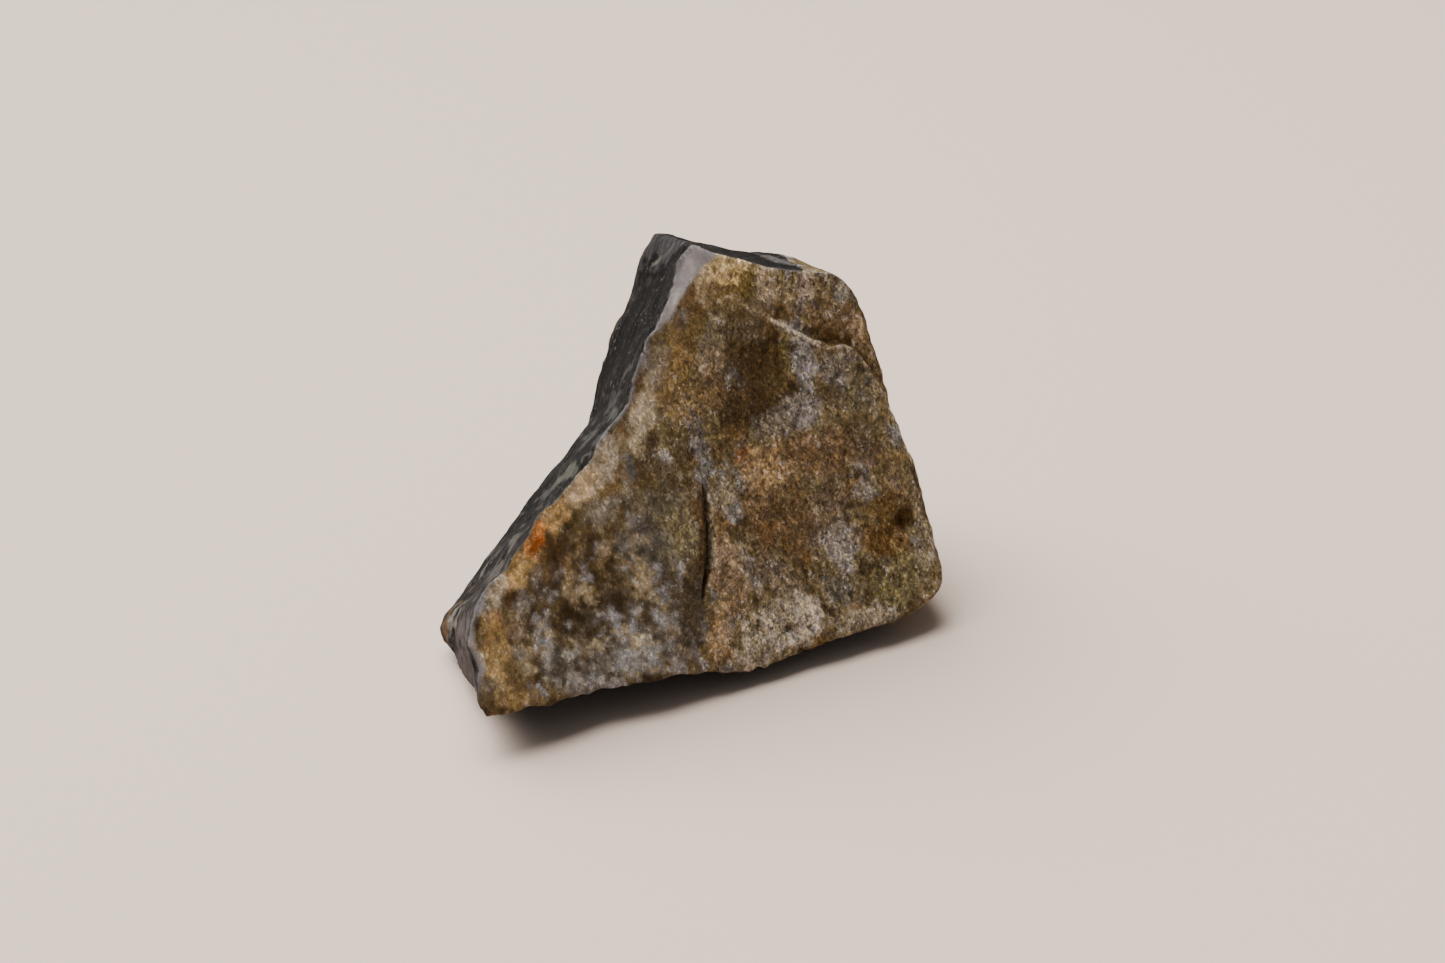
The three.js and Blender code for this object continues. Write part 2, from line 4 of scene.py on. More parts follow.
import bpy
import numpy as np
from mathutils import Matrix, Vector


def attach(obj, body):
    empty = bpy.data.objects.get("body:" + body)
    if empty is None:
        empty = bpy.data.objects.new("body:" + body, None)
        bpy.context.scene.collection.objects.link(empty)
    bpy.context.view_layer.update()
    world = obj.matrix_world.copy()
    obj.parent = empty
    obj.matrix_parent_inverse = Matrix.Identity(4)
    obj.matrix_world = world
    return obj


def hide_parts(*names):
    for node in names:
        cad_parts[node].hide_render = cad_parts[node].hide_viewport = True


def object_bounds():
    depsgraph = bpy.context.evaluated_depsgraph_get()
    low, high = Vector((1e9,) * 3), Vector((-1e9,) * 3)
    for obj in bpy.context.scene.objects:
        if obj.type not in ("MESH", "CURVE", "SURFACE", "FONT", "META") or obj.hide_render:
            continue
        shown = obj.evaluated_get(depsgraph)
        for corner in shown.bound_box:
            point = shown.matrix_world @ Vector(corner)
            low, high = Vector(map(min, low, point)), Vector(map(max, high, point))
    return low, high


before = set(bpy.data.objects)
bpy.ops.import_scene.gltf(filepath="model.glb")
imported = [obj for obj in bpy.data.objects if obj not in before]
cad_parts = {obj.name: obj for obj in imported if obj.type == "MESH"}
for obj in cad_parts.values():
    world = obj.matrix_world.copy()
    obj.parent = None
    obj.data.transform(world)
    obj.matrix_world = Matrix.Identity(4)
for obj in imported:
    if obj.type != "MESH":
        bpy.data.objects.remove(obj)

CAD_BOX = [list(corner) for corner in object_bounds()]

# A rough agate: one broken piece of a chalcedony nodule. The stone is the space inside a ring of
# faces, as in the frame. Lengths are in millimetres until the mesh is made.

# ---- The frame's dimensions

MM = 0.001
MIDDLE = np.array([-0.15, -2.54, 0.0])  # the frame's origin, seen from the places below
FACE_TURN = math.radians(31.33)
FACE_LEAN = math.radians(32.17)
FACE_ORIGIN = np.array([7.27, -13.75, 4.99])

# Outlines across and up on the weathered face: its edges, and where the walls that run in from them
# have come to at their depth.
LEFT_EDGE = [
    (5.1, 43.1), (2.7, 41.3), (1.3, 39.2), (-0.6, 36.6), (-3.6, 34.2), (-5.5, 31.6), (-7.5, 28.3),
    (-10.6, 26.1), (-12.5, 24.7), (-13.3, 23.2), (-17.2, 21.1), (-22.1, 18.6), (-26.3, 14.8),
    (-29.3, 13.6), (-31.9, 10.9), (-33.5, 7.8), (-33.0, 5.0), (-34.1, 2.2), (-33.9, -1.0),
]
LEFT_BACK = [
    (6.6, 48.0), (5.2, 45.5), (4.3, 40.9), (1.1, 36.9), (-1.3, 32.6), (-2.9, 29.0), (-6.2, 26.4),
    (-13.9, 21.4), (-20.2, 17.0), (-24.1, 13.9), (-27.0, 12.6), (-28.3, 10.9), (-28.5, 9.0),
    (-28.3, 7.2), (-29.3, 4.6), (-28.6, 2.0),
]
LEFT_DEPTH = 19
TOP_EDGE = [
    (24.0, 33.9), (21.1, 36.0), (16.5, 37.3), (13.5, 38.4), (10.6, 40.0), (7.2, 41.6), (5.1, 43.1),
]
TOP_BACK = [
    (29.0, 35.4), (26.8, 37.3), (24.5, 38.8), (21.4, 40.4), (17.6, 41.3), (14.2, 42.7),
    (11.2, 43.8), (8.9, 44.9), (5.5, 45.8),
]
TOP_DEPTH = 10
RIGHT_EDGE = [
    (24.6, -4.0), (24.6, -1.5), (24.8, 2.6), (24.9, 7.3), (25.1, 10.8), (25.0, 14.0), (24.7, 17.3),
    (24.5, 21.4), (24.7, 26.9), (24.7, 31.0), (24.7, 36.0),
]
RIGHT_DRIFT = (6.0, 2.0)
BOTTOM_EDGE = [
    (-34.5, -0.1), (-28.0, -0.8), (-21.0, -1.2), (-12.0, -1.6), (-7.8, -2.4), (-2.2, -3.9),
    (2.7, -3.6), (9.0, -3.1), (16.4, -3.0), (20.0, -2.7), (25.5, -2.6),
]
BOTTOM_DRIFT = (5.0, 8.0)
DRIFT_DEPTH = 20
BACK_LEFT = {
    "out": (-0.747, 0.664, -0.017), "at": (-8.7, 21.1, 5.0), "radius": 60,
    "bend": (0.485, 0.545, -0.69),
}
BACK = {"out": (0.2, 0.98, -0.05), "at": (10.0, 25.0, 15.0), "radius": 60}
BACK_RIGHT = {"out": (0.85, 0.52, 0.05), "at": (23.8, 15.5, 14.0), "radius": 50}
UNDER_BACK = {"out": (0.05, 0.62, -0.78), "at": (3.1, 12.0, 0.0)}
UNDER_LEFT = {"out": (-0.1, 0.0, -0.995), "at": (-8.9, 1.0, 0.0)}
UNDER_RIGHT = {"out": (0.3, 0.1, -0.95), "at": (15.1, -2.0, 0.0)}
SHARP = 0.25
CHIPPED = 0.7
WORN = 3.0
LEDGE_LINE = [
    (12.6, 32.6), (15.0, 30.6), (18.2, 28.3), (20.1, 28.1), (21.3, 27.0), (22.6, 24.6),
    (24.2, 20.2), (25.2, 14.0),
]
LEDGE_DROP = 1.1
LEDGE_REACH = 4.0
CRACK_LINE = [(-1.7, 17.7), (-1.8, 15.7), (-2.3, 12.6), (-3.4, 9.3), (-5.8, 5.2)]
CRACK_WIDTH = 0.9
CRACK_DEPTH = 3.2
CRACK_BLUNT = 0.6  # the less, the blunter its ends are
CRACK_LEFT = 0.45  # the share of its width that is left of the line
CRACK_SLOPE = 0.35  # how far its right side slopes in for each millimetre of depth
CRACK_SLOPE_END = 1.2
HOLLOWS = [((21.4, 7.8), 1.9, 0.7), ((8.0, 29.5), 4.5, 0.5), ((-20.0, 6.5), 5.0, 0.5)]
SKIN_LUMPS = [(13.0, 0.9), (6.0, 0.5), (3.2, 0.22)]
BREAK_RIPPLES = [(9.0, 0.5), (3.6, 0.2)]
SCOOP = 0.8

# ---- Finer dimensions, which only this model has

LEDGE_STEP = 0.3
LEDGE_LIP = 0.2
LEDGE_RAG = [(1.3, 0.35)]  # spacing and height of the waves in its line
SPACING = 0.36  # of the net that the mesh is made on
COARSE = 8  # net cubes to a side of the blocks in which the stone is first looked for
BLOCK_REACH = 1.15  # a block is looked through if the surface is nearer than this many sides of it
BATCHES = 12
VERTEX_REACH = 0.6  # how far a vertex may be from the middle of its crossings, in net cubes
BOX_LOW = np.array([-31.1, -34.3, -0.73])
BOX_HIGH = np.array([31.0, 31.0, 45.0])
CRUST = [(2.6, 0.20), (1.3, 0.17), (0.8, 0.09)]  # spacing and height of the rind's grains
ROUGHER = 1.5  # how much rougher the bottom and the back are
CRUST_SUNK = 0.08  # the relief is let into the stone, so that it stays inside the frame's box
HACKLE = [(1.4, 0.12), (0.75, 0.09)]  # spacing and height of the fine ribs of the broken faces
HACKLE_STRETCH = 7.0
HACKLE_RUN = np.array([-0.43, -0.87, 0.24])  # the way the ribs run, in across, up and deep

# Pits of the weathered face: place, radius and depth.
PITS = [
    ((21.4, 8.0), 0.7, 0.5), ((20.4, 5.6), 0.35, 0.5), ((17.4, -1.6), 0.4, 0.5),
    ((9.0, 0.2), 0.4, 0.4), ((6.2, -0.6), 0.35, 0.4), ((-27.1, 11.0), 1.1, 0.35),
    ((-20.0, 7.9), 1.3, 0.4), ((-21.4, 10.9), 0.9, 0.3), ((14.6, 32.3), 0.5, 0.3),
    ((22.0, 33.9), 0.5, 0.35), ((3.4, 22.8), 1.4, 0.35), ((-12.5, 5.0), 1.0, 0.3),
    ((16.2, 12.0), 0.8, 0.3), ((5.5, 12.2), 1.4, 0.25), ((-6.4, 20.6), 1.6, 0.3),
]
# Where the far tip of the left wall is crushed, by height on the face and depth.
CRUSHED_AT = (10.3, 15.0)
CRUSHED_HALF = (1.4, 2.6)
CRUSHED = 0.35
CRUSHED_SPACING = 0.8
CRUSHED_SUNK = 0.5
# Where the rind is eaten into small pits: place and half sizes.
PITTED_AT = (2.6, 0.6)
PITTED_HALF = (7.5, 2.8)
PITTED = 0.45
PITTED_NOISE = (70, [(1.5, 0.8), (0.8, 0.5)])
PITTED_STARTS = (0.16, 0.42)
EDGE_BUMPS = (40, [(3.1, 0.5), (1.6, 0.3), (0.9, 0.15)])  # along the edge of the left wall
EDGE_BUMPS_DEEP = (1.0, 4.5)
RIM_BUMPS = (60, [(3.4, 0.5), (1.5, 0.2)])  # and along its far edge

# How wide the strip of clear chalcedony along the left edge is, at some heights on the face.
STRIP_UP = [-1.0, 2.0, 6.0, 12.5, 15.0, 22.0, 25.0, 30.0, 34.0, 37.0, 40.0, 43.0]
STRIP_WIDE = [-0.5, 0.2, 0.7, 0.6, -0.5, -0.5, 0.3, 0.6, 0.4, 1.4, 2.6, 3.6]
STRIP_BORDER = (-0.3, 0.35)
STRIP_SMOOTH = 0.8  # the share of the grain that it lacks

# ---- Noise

HASH_PRIMES = (374761393, 668265263, 1440662683)
HASH_MIX = 1274126177
HASH_SHIFTS = (13, 16)
SLOPE_BITS = 10
SLOPE_MOST = 2 ** SLOPE_BITS - 1
LAYER_SHIFT = 7


def corner_pull(cell, away):
    """The slope that a lattice corner gives to the noise round it, from a hash of its place."""
    mixed = np.zeros(len(cell), np.uint32)
    for axis, prime in enumerate(HASH_PRIMES):
        mixed ^= cell[:, axis].astype(np.int32).view(np.uint32) * np.uint32(prime)
    mixed = (mixed ^ (mixed >> np.uint32(HASH_SHIFTS[0]))) * np.uint32(HASH_MIX)
    mixed ^= mixed >> np.uint32(HASH_SHIFTS[1])
    total = np.zeros(len(cell))
    for axis in range(3):
        slope = (mixed >> np.uint32(SLOPE_BITS * axis)) & np.uint32(SLOPE_MOST)
        total += (slope * (2 / SLOPE_MOST) - 1) * away[:, axis]
    return total


def noise(places):
    """Smooth noise between about -1 and 1."""
    cell = np.floor(places)
    offset = places - cell
    cell = cell.astype(np.int64)
    total = np.zeros(len(places))
    for corner in itertools.product((0, 1), repeat=3):
        away = offset - corner
        t = 1 - np.abs(away)
        weight = (t * t * t * (t * (t * 6 - 15) + 10)).prod(axis=1)
        total += weight * corner_pull(cell + np.array(corner), away)
    return total


def layered_noise(places, layers):
    """Several layers of noise, each with its own spacing and height."""
    shift = np.array([LAYER_SHIFT, 0, 0])
    layered = [height * noise(places / size + shift * i) for i, (size, height) in enumerate(layers)]
    return sum(layered)


def pattern(places, at, layers):
    """Layered noise that is looked up elsewhere, so that no two patterns are alike."""
    return layered_noise(places + at, layers)


def smoothstep(x, low, high):
    """A smooth rise from 0 to 1 as x runs from low to high."""
    t = np.clip((x - low) / (high - low), 0, 1)
    return t * t * (3 - 2 * t)


# ---- Distances

SAME = 1e-9


def side_of(line, x, y):
    """Distance in the plane to an open line whose end pieces go on for ever, positive on the
    right of the line's direction, which is outside the stone."""
    nearest = np.full(len(x), np.inf)
    signed = np.zeros(len(x))
    last = len(line) - 2
    for i, (start, end) in enumerate(zip(line[:-1], line[1:])):
        length = math.dist(start, end)
        ux, uy = (end[0] - start[0]) / length, (end[1] - start[1]) / length
        along = (x - start[0]) * ux + (y - start[1]) * uy
        held = np.clip(along, -np.inf if i == 0 else 0, np.inf if i == last else length)
        across = (x - start[0]) * uy - (y - start[1]) * ux
        distance = np.hypot(across, along - held)
        closer = distance < nearest - SAME
        tied = (np.abs(distance - nearest) <= SAME) & (np.abs(across) > np.abs(signed))
        signed = np.where(closer | tied, across, signed)
        nearest = np.minimum(nearest, distance)
    return np.sign(signed) * nearest


def moved(line, drift):
    """A line of points, moved sideways."""
    return [(x + drift[0], y + drift[1]) for x, y in line]


RIGHT_BACK = moved(RIGHT_EDGE, RIGHT_DRIFT)
BOTTOM_BACK = moved(BOTTOM_EDGE, BOTTOM_DRIFT)
WALL_START = -0.3
WALL_END = 1.6
RIPPLE_START = 1 / 3


def wall(edge, back, depth, across, up, deep):
    """A wall that runs in from an edge of the weathered face to a line deeper in the stone."""
    share = np.clip(deep / depth, WALL_START, WALL_END)
    return (1 - share) * side_of(edge, across, up) + share * side_of(back, across, up)


def face_at(places, out, at, radius=math.inf, bend=None):
    """A flat or swollen face: how far points are outside it."""
    normal = np.array(out) / np.linalg.norm(out)
    arm = places - at
    height = arm @ normal
    away = (arm @ bend) ** 2 if bend else (arm ** 2).sum(axis=1) - height ** 2
    return height + away / (2 * radius)


FACE_OUT = np.array([
    math.sin(FACE_TURN) * math.cos(FACE_LEAN),
    -math.cos(FACE_TURN) * math.cos(FACE_LEAN),
    math.sin(FACE_LEAN),
])
FACE_ACROSS = np.array([math.cos(FACE_TURN), math.sin(FACE_TURN), 0])
FACE_UP = np.cross(FACE_OUT, FACE_ACROSS)


def on_face(places):
    """How far places lie across, up and deep, seen from the weathered face."""
    arm = places - FACE_ORIGIN
    return arm @ FACE_ACROSS, arm @ FACE_UP, -(arm @ FACE_OUT)


def above_ledge(places, across, up):
    """How far over the ledge's ragged line a place is."""
    return -side_of(LEDGE_LINE, across, up) + layered_noise(places, LEDGE_RAG)


def ledge_reach(across):
    """How far the ledge has grown, from nothing at its left end."""
    return smoothstep(across, LEDGE_LINE[0][0], LEDGE_LINE[2][0])


def face_hollow(places, across, up):
    """How far the weathered face lies under its plane at one place, without its lumps."""
    above = above_ledge(places, across, up)
    step = smoothstep(above, 0, LEDGE_STEP)
    drop = LEDGE_DROP * step * np.exp(-np.maximum(above, 0) / LEDGE_REACH)
    lip = LEDGE_LIP * (1 - step) * np.exp(-np.maximum(-above, 0) / LEDGE_STEP)
    sunk = ledge_reach(across) * (drop - lip)
    for (x, y), radius, depth in HOLLOWS + PITS:
        sunk += depth * np.exp(-((across - x) ** 2 + (up - y) ** 2) / radius ** 2)
    return sunk


def clear_strip(across, up, rag):
    """How much of a place on the weathered face is clear chalcedony, with a ragged border."""
    to_edge = -side_of(LEFT_EDGE, across, up)
    wide = np.interp(up, STRIP_UP, STRIP_WIDE)
    return 1 - smoothstep(to_edge + rag - wide, *STRIP_BORDER)


def pitted(places, across, up):
    """How far a place of the weathered face is inside one of its small pits."""
    x = (across - PITTED_AT[0]) / PITTED_HALF[0]
    y = (up - PITTED_AT[1]) / PITTED_HALF[1]
    eaten = smoothstep(pattern(places, *PITTED_NOISE), *PITTED_STARTS)
    return eaten * np.exp(-x * x - y * y)


def crushed_part(up, deep):
    """How much of a place on the left wall is crushed."""
    x = (up - CRUSHED_AT[0]) / CRUSHED_HALF[0]
    y = (deep - CRUSHED_AT[1]) / CRUSHED_HALF[1]
    return np.exp(-x * x - y * y)


def worn_max(a, b, worn):
    """The larger of two distances, with the edge between the two faces worn round."""
    blend = np.maximum(worn - np.abs(a - b), 0) / worn if worn else 0
    return np.maximum(a, b) + blend * blend * worn / 4


def from_line(line, x, y):
    """Distance in the plane to a line of points, and the share of it before the nearest place."""
    line = np.array(line)
    lengths = np.hypot(*np.diff(line, axis=0).T)
    reached = np.concatenate([[0], np.cumsum(lengths)])
    nearest = np.full(len(x), np.inf)
    share = np.zeros(len(x))
    for start, end, length, so_far in zip(line[:-1], line[1:], lengths, reached):
        ux, uy = (end - start) / length
        held = np.clip((x - start[0]) * ux + (y - start[1]) * uy, 0, length)
        off = np.hypot(x - start[0] - held * ux, y - start[1] - held * uy)
        share = np.where(off < nearest, (so_far + held) / reached[-1], share)
        nearest = np.minimum(nearest, off)
    return nearest, share


def crack_distance(across, up, deep):
    """How far points are outside the open crack, whose left wall stands straight."""
    nearest, share = from_line(CRACK_LINE, across, up)
    opening = np.sin(np.pi * np.clip(share, 0, 1)) ** CRACK_BLUNT
    left = CRACK_LEFT * CRACK_WIDTH * opening
    right = left + CRACK_SLOPE * np.maximum(CRACK_SLOPE_END - deep, 0) * opening
    beside = side_of(CRACK_LINE, across, up)
    lateral = np.where(beside > 0, nearest - left, nearest - right)
    return np.maximum(lateral, deep - CRACK_DEPTH * opening)


def along_ribs(across, up, deep):
    """Face coordinates squeezed along the ribs of the broken faces, so that noise runs with them."""
    run = np.stack([across, up, deep], 1)
    return run - np.outer(run @ HACKLE_RUN * (1 - 1 / HACKLE_STRETCH), HACKLE_RUN)


def stone_faces(places):
    """The distance of every face, by name."""
    across, up, deep = on_face(places)
    skin = layered_noise(places, SKIN_LUMPS)
    ripple = layered_noise(places, BREAK_RIPPLES)
    crust = layered_noise(places, CRUST) + CRUST_SUNK
    hackle = layered_noise(along_ribs(across, up, deep), HACKLE) + CRUST_SUNK
    crumbled = noise(places / CRUSHED_SPACING) + CRUSHED_SUNK
    crushed = CRUSHED * crushed_part(up, deep) * crumbled
    left_start = smoothstep(deep, 0, LEFT_DEPTH * RIPPLE_START)
    top_start = smoothstep(deep, 0, TOP_DEPTH * RIPPLE_START)
    smooth = clear_strip(across, up, 0)
    bumps = pattern(places, *EDGE_BUMPS)
    bumps *= 1 - smoothstep(deep, *EDGE_BUMPS_DEEP)
    rim_bumps = pattern(places, *RIM_BUMPS)
    return {
        "front": skin + face_hollow(places, across, up) - deep + crust * (1 - STRIP_SMOOTH * smooth)
        + PITTED * pitted(places, across, up),
        "left": wall(LEFT_EDGE, LEFT_BACK, LEFT_DEPTH, across, up, deep)
        + (ripple + SCOOP) * left_start + hackle + crushed + bumps,
        "top": wall(TOP_EDGE, TOP_BACK, TOP_DEPTH, across, up, deep) + (ripple + hackle) * top_start,
        "right": wall(RIGHT_EDGE, RIGHT_BACK, DRIFT_DEPTH, across, up, deep) + skin / 2 + crust,
        "bottom": wall(BOTTOM_EDGE, BOTTOM_BACK, DRIFT_DEPTH, across, up, deep)
        + ROUGHER * crust,
        "back_left": face_at(places, **BACK_LEFT) + skin + crust + rim_bumps,
        "back": face_at(places, **BACK) + ROUGHER * skin + crust,
        "back_right": face_at(places, **BACK_RIGHT) + ROUGHER * skin + crust,
        "under_back": face_at(places, **UNDER_BACK) + ripple + crust,
        "under_left": face_at(places, **UNDER_LEFT) + ripple / 2 + hackle,
        "under_right": face_at(places, **UNDER_RIGHT) + ripple / 2 + hackle,
    }


# How round the edges are worn where each face meets the ones before it.
WEAR = {
    "left": SHARP, "top": SHARP, "right": WORN, "bottom": CHIPPED, "back_left": CHIPPED,
    "back": WORN, "back_right": WORN, "under_back": WORN, "under_left": CHIPPED,
    "under_right": CHIPPED,
}


def stone_distance(places):
    """How far points are outside the stone."""
    faces = stone_faces(places)
    body = faces["front"]
    for name, worn in WEAR.items():
        body = worn_max(body, faces[name], worn)
    body = np.maximum(body, -places[:, 2])
    return np.maximum(body, -crack_distance(*on_face(places)))


# ---- Mesh

SLOPE_STEP = 0.02
HOLD = 0.08  # how strongly a vertex is held to the middle of its cube's crossings


def slopes(places, values):
    """How the distance grows along each axis."""
    steps = np.eye(3) * SLOPE_STEP
    return np.stack([(stone_distance(places + step) - values) / SLOPE_STEP for step in steps], 1)


def lattice_values():
    """The distance at every point of a fine lattice. Far from the surface only its sign counts,
    so there it is taken from a corner of the block."""
    blocks = np.ceil((BOX_HIGH - BOX_LOW) / (SPACING * COARSE)).astype(int)
    coarse_axes = [low + SPACING * COARSE * np.arange(n + 1) for low, n in zip(BOX_LOW, blocks)]
    coarse = np.stack(np.meshgrid(*coarse_axes, indexing="ij"), -1)
    rough = stone_distance(coarse.reshape(-1, 3)).reshape(coarse.shape[:3])
    corners = [rough[i:blocks[0] + i, j:blocks[1] + j, k:blocks[2] + k]
               for i, j, k in itertools.product((0, 1), repeat=3)]
    corners = np.stack(corners)
    near = np.abs(corners).min(axis=0) < SPACING * COARSE * BLOCK_REACH
    values = corners[0]
    for axis in range(3):
        values = np.repeat(values, COARSE, axis=axis)
        near = np.repeat(near, COARSE, axis=axis)
    for some in np.array_split(np.argwhere(near), BATCHES):
        values[tuple(some.T)] = stone_distance(BOX_LOW + SPACING * some)
    return values


def crossings(values):
    """Where the lattice's sides cross the surface: the lower end, the axis, the place, and
    whether the lower end is inside."""
    found = []
    for axis in range(3):
        here = np.take(values, range(values.shape[axis] - 1), axis)
        there = np.take(values, range(1, values.shape[axis]), axis)
        ends = np.argwhere((here < 0) != (there < 0))
        a, b = here[tuple(ends.T)], there[tuple(ends.T)]
        places = BOX_LOW + SPACING * (ends + np.outer(a / (a - b), np.eye(3)[axis]))
        found.append((axis, ends, places, a < 0))
    return found


def stone_net():
    """Vertices and quads: one vertex in each lattice cube that the surface runs through, put
    where the planes through the cube's crossings meet."""
    values = lattice_values()
    found = crossings(values)
    counts = np.array(values.shape)
    strides = np.array([counts[1] * counts[2], counts[2], 1])
    quads = []
    owners = []
    planes = []
    for axis, ends, places, inside in found:
        around = np.tile(ends[:, None, :], (1, 4, 1))
        around[:, 1:3, (axis + 1) % 3] -= 1
        around[:, 2:4, (axis + 2) % 3] -= 1
        cubes = around @ strides
        quads.append(np.where(inside[:, None], cubes, cubes[:, ::-1]))
        owners.append(cubes)
        normals = slopes(places, stone_distance(places))
        normals /= np.linalg.norm(normals, axis=1, keepdims=True)
        planes.append(np.concatenate([places, normals], axis=1))
    quads = np.concatenate(quads)
    owners = np.concatenate(owners)
    planes = np.concatenate(planes)
    cubes, numbered = np.unique(owners, return_inverse=True)
    numbered = numbered.reshape(owners.shape)
    places, normals = planes[:, :3], planes[:, 3:]
    offsets = (places * normals).sum(axis=1)

    def total(column):
        return np.bincount(numbered.ravel(), np.repeat(column, 4), len(cubes))

    count = total(np.ones(len(places)))
    middle = np.stack([total(places[:, i]) / count for i in range(3)], 1)
    matrix = np.zeros((len(cubes), 3, 3))
    right = np.zeros((len(cubes), 3))
    for i in range(3):
        right[:, i] = total(normals[:, i] * offsets) + HOLD * middle[:, i]
        matrix[:, i, i] = HOLD
        for j in range(3):
            matrix[:, i, j] += total(normals[:, i] * normals[:, j])
    best = np.linalg.solve(matrix, right[:, :, None])[:, :, 0]
    reach = VERTEX_REACH * SPACING
    vertices = middle + np.clip(best - middle, -reach, reach)
    return vertices, np.searchsorted(cubes, quads)


def drop_small_bits(vertices, quads):
    """Keeps the largest connected piece of the net."""
    part = np.arange(len(vertices))
    while True:
        least = part[quads].min(axis=1)
        newer = part.copy()
        np.minimum.at(newer, quads.ravel(), np.repeat(least, 4))
        newer = newer[newer]
        if (newer == part).all():
            break
        part = newer
    largest = np.bincount(part).argmax()
    kept = part == largest
    number = np.cumsum(kept) - 1
    return vertices[kept], number[quads[kept[quads[:, 0]]]]


# ---- Colours

# The studio's view, AgX, shows stops of light around a middle grey on a curve that rolls off at both
# ends. Over a screen value of 10 this keeps within half a value of it, at the greys that were tried.
GREY = 0.18
STOPS_UNDER = 10
STOPS_OVER = 6.5
CONTRAST = 2.4  # the slope of the curve at the grey, over the whole range of stops
ROLL_OFF = 1.5
GAMMA = 2.4
SRGB_OFFSET = 0.055
GREY_SHOWN = GREY ** (1 / GAMMA)
FACE_LIGHT = (0.610, 0.541, 0.467)  # the light that a white surface on the weathered face sends back
FACE_SHEEN = 0.010  # and what its gloss sends back, whatever its colour
WALL_LIGHT = (1.95, 1.88, 1.76)  # the same two for the broken faces on the left
WALL_SHEEN = 0.030
LEAST_COLOUR = 0.001


def scene_light(screen):
    """The light that the studio's view shows as these screen values, which are more than 10."""
    shown = (np.array(screen) / 255 + SRGB_OFFSET) / (1 + SRGB_OFFSET)
    over = shown > GREY_SHOWN
    steep = CONTRAST * np.where(over, STOPS_OVER, STOPS_UNDER) / (STOPS_UNDER + STOPS_OVER)
    room = np.where(over, 1 - GREY_SHOWN, GREY_SHOWN)
    reach = steep * ((steep / room) ** ROLL_OFF - 1) ** (-1 / ROLL_OFF)
    share = np.abs(shown - GREY_SHOWN) / reach
    rise = reach * share / (1 - share ** ROLL_OFF) ** (1 / ROLL_OFF)
    stops = np.sign(shown - GREY_SHOWN) * rise * (STOPS_UNDER + STOPS_OVER) / CONTRAST
    return GREY * 2 ** stops


def paint(red, green, blue, light=FACE_LIGHT, sheen=FACE_SHEEN):
    """The material colour that comes out in the studio light as this screen colour."""
    shown = scene_light([red, green, blue])
    return np.clip((shown - sheen) / np.array(light), LEAST_COLOUR, 1)


def dark_paint(red, green, blue):
    """The same for the broken faces on the left."""
    return paint(red, green, blue, WALL_LIGHT, WALL_SHEEN)


RIND_BROWN = paint(88, 68, 43)
RIND_OLIVE = paint(104, 86, 58)
CHALCEDONY = paint(130, 121, 115)
CHALCEDONY_PALE = paint(160, 150, 143)

# Patches that the rind has all over: colour, noise spacing, and where in the noise they begin.
RIND_PATCHES = [
    (paint(126, 106, 80), 3.6, 0.16),
    (paint(118, 106, 96), 2.7, 0.20),
    (paint(60, 45, 29), 3.3, 0.20),
    (paint(104, 76, 46), 5.2, 0.20),
]
PATCH = 0.8  # the height of their noise
PATCH_SOFT = 0.1
GRAIN_RUN = 0.6  # heights are shortened by this for the noise, so its patches are longer up the face
OLIVE_SPACING = 5
OLIVE = (-0.5, 0.5)
# Patterns: where in the noise each is looked up, and spacing and height of its layers.
RAG = (90, [(2.2, 0.55), (1.2, 0.5), (0.75, 0.45)])
OLIVE_AT = 17
PATCHES_AT = 50
PATCH_GRAIN = [(1.5, 0.5), (0.8, 0.4)]
WARP = 0.8  # how far noise moves the stains
WARP_SPACING = 2.1
WARP_X_AT = 31
WARP_Y_AT = 63
SPECKS = (240, [(1.3, 0.6), (0.75, 0.6)])
LACE = (150, [(5.0, 0.45), (2.4, 0.5), (1.2, 0.55), (0.8, 0.4)])
BLOBS = (330, [(3.4, 0.7), (1.5, 0.5), (0.8, 0.4)])
MILK_AT = 13
CLOUD = (200, [(6.0, 0.5), (2.6, 0.5), (1.1, 0.4)])
INSIDE_RAG = (260, [(3.0, 1.0), (1.4, 1.1), (0.8, 0.8)])
# How strongly each mark covers what is under it. The crease and the crack shade are painted shade,
# the lip and the crack rim painted highlights.
STRENGTH = {
    "patches": 0.85, "pale specks": 0.7, "dark specks": 0.8, "white blots": 0.80,
    "brown blots": 0.82, "cream blots": 0.80, "pits": 0.75, "crease": 0.7, "lip": 0.9,
    "crack": 0.9, "crack shade": 0.8, "crack rim": 0.5, "crumbs": 0.6, "under rind": 0.65,
    "patchy": 0.9, "pores": 0.6, "lights": 0.7, "flecks": 0.75, "lines": 0.5,
}

STAIN_ENDS = (0.7, 1.2)  # where a stain fades out, in its half sizes
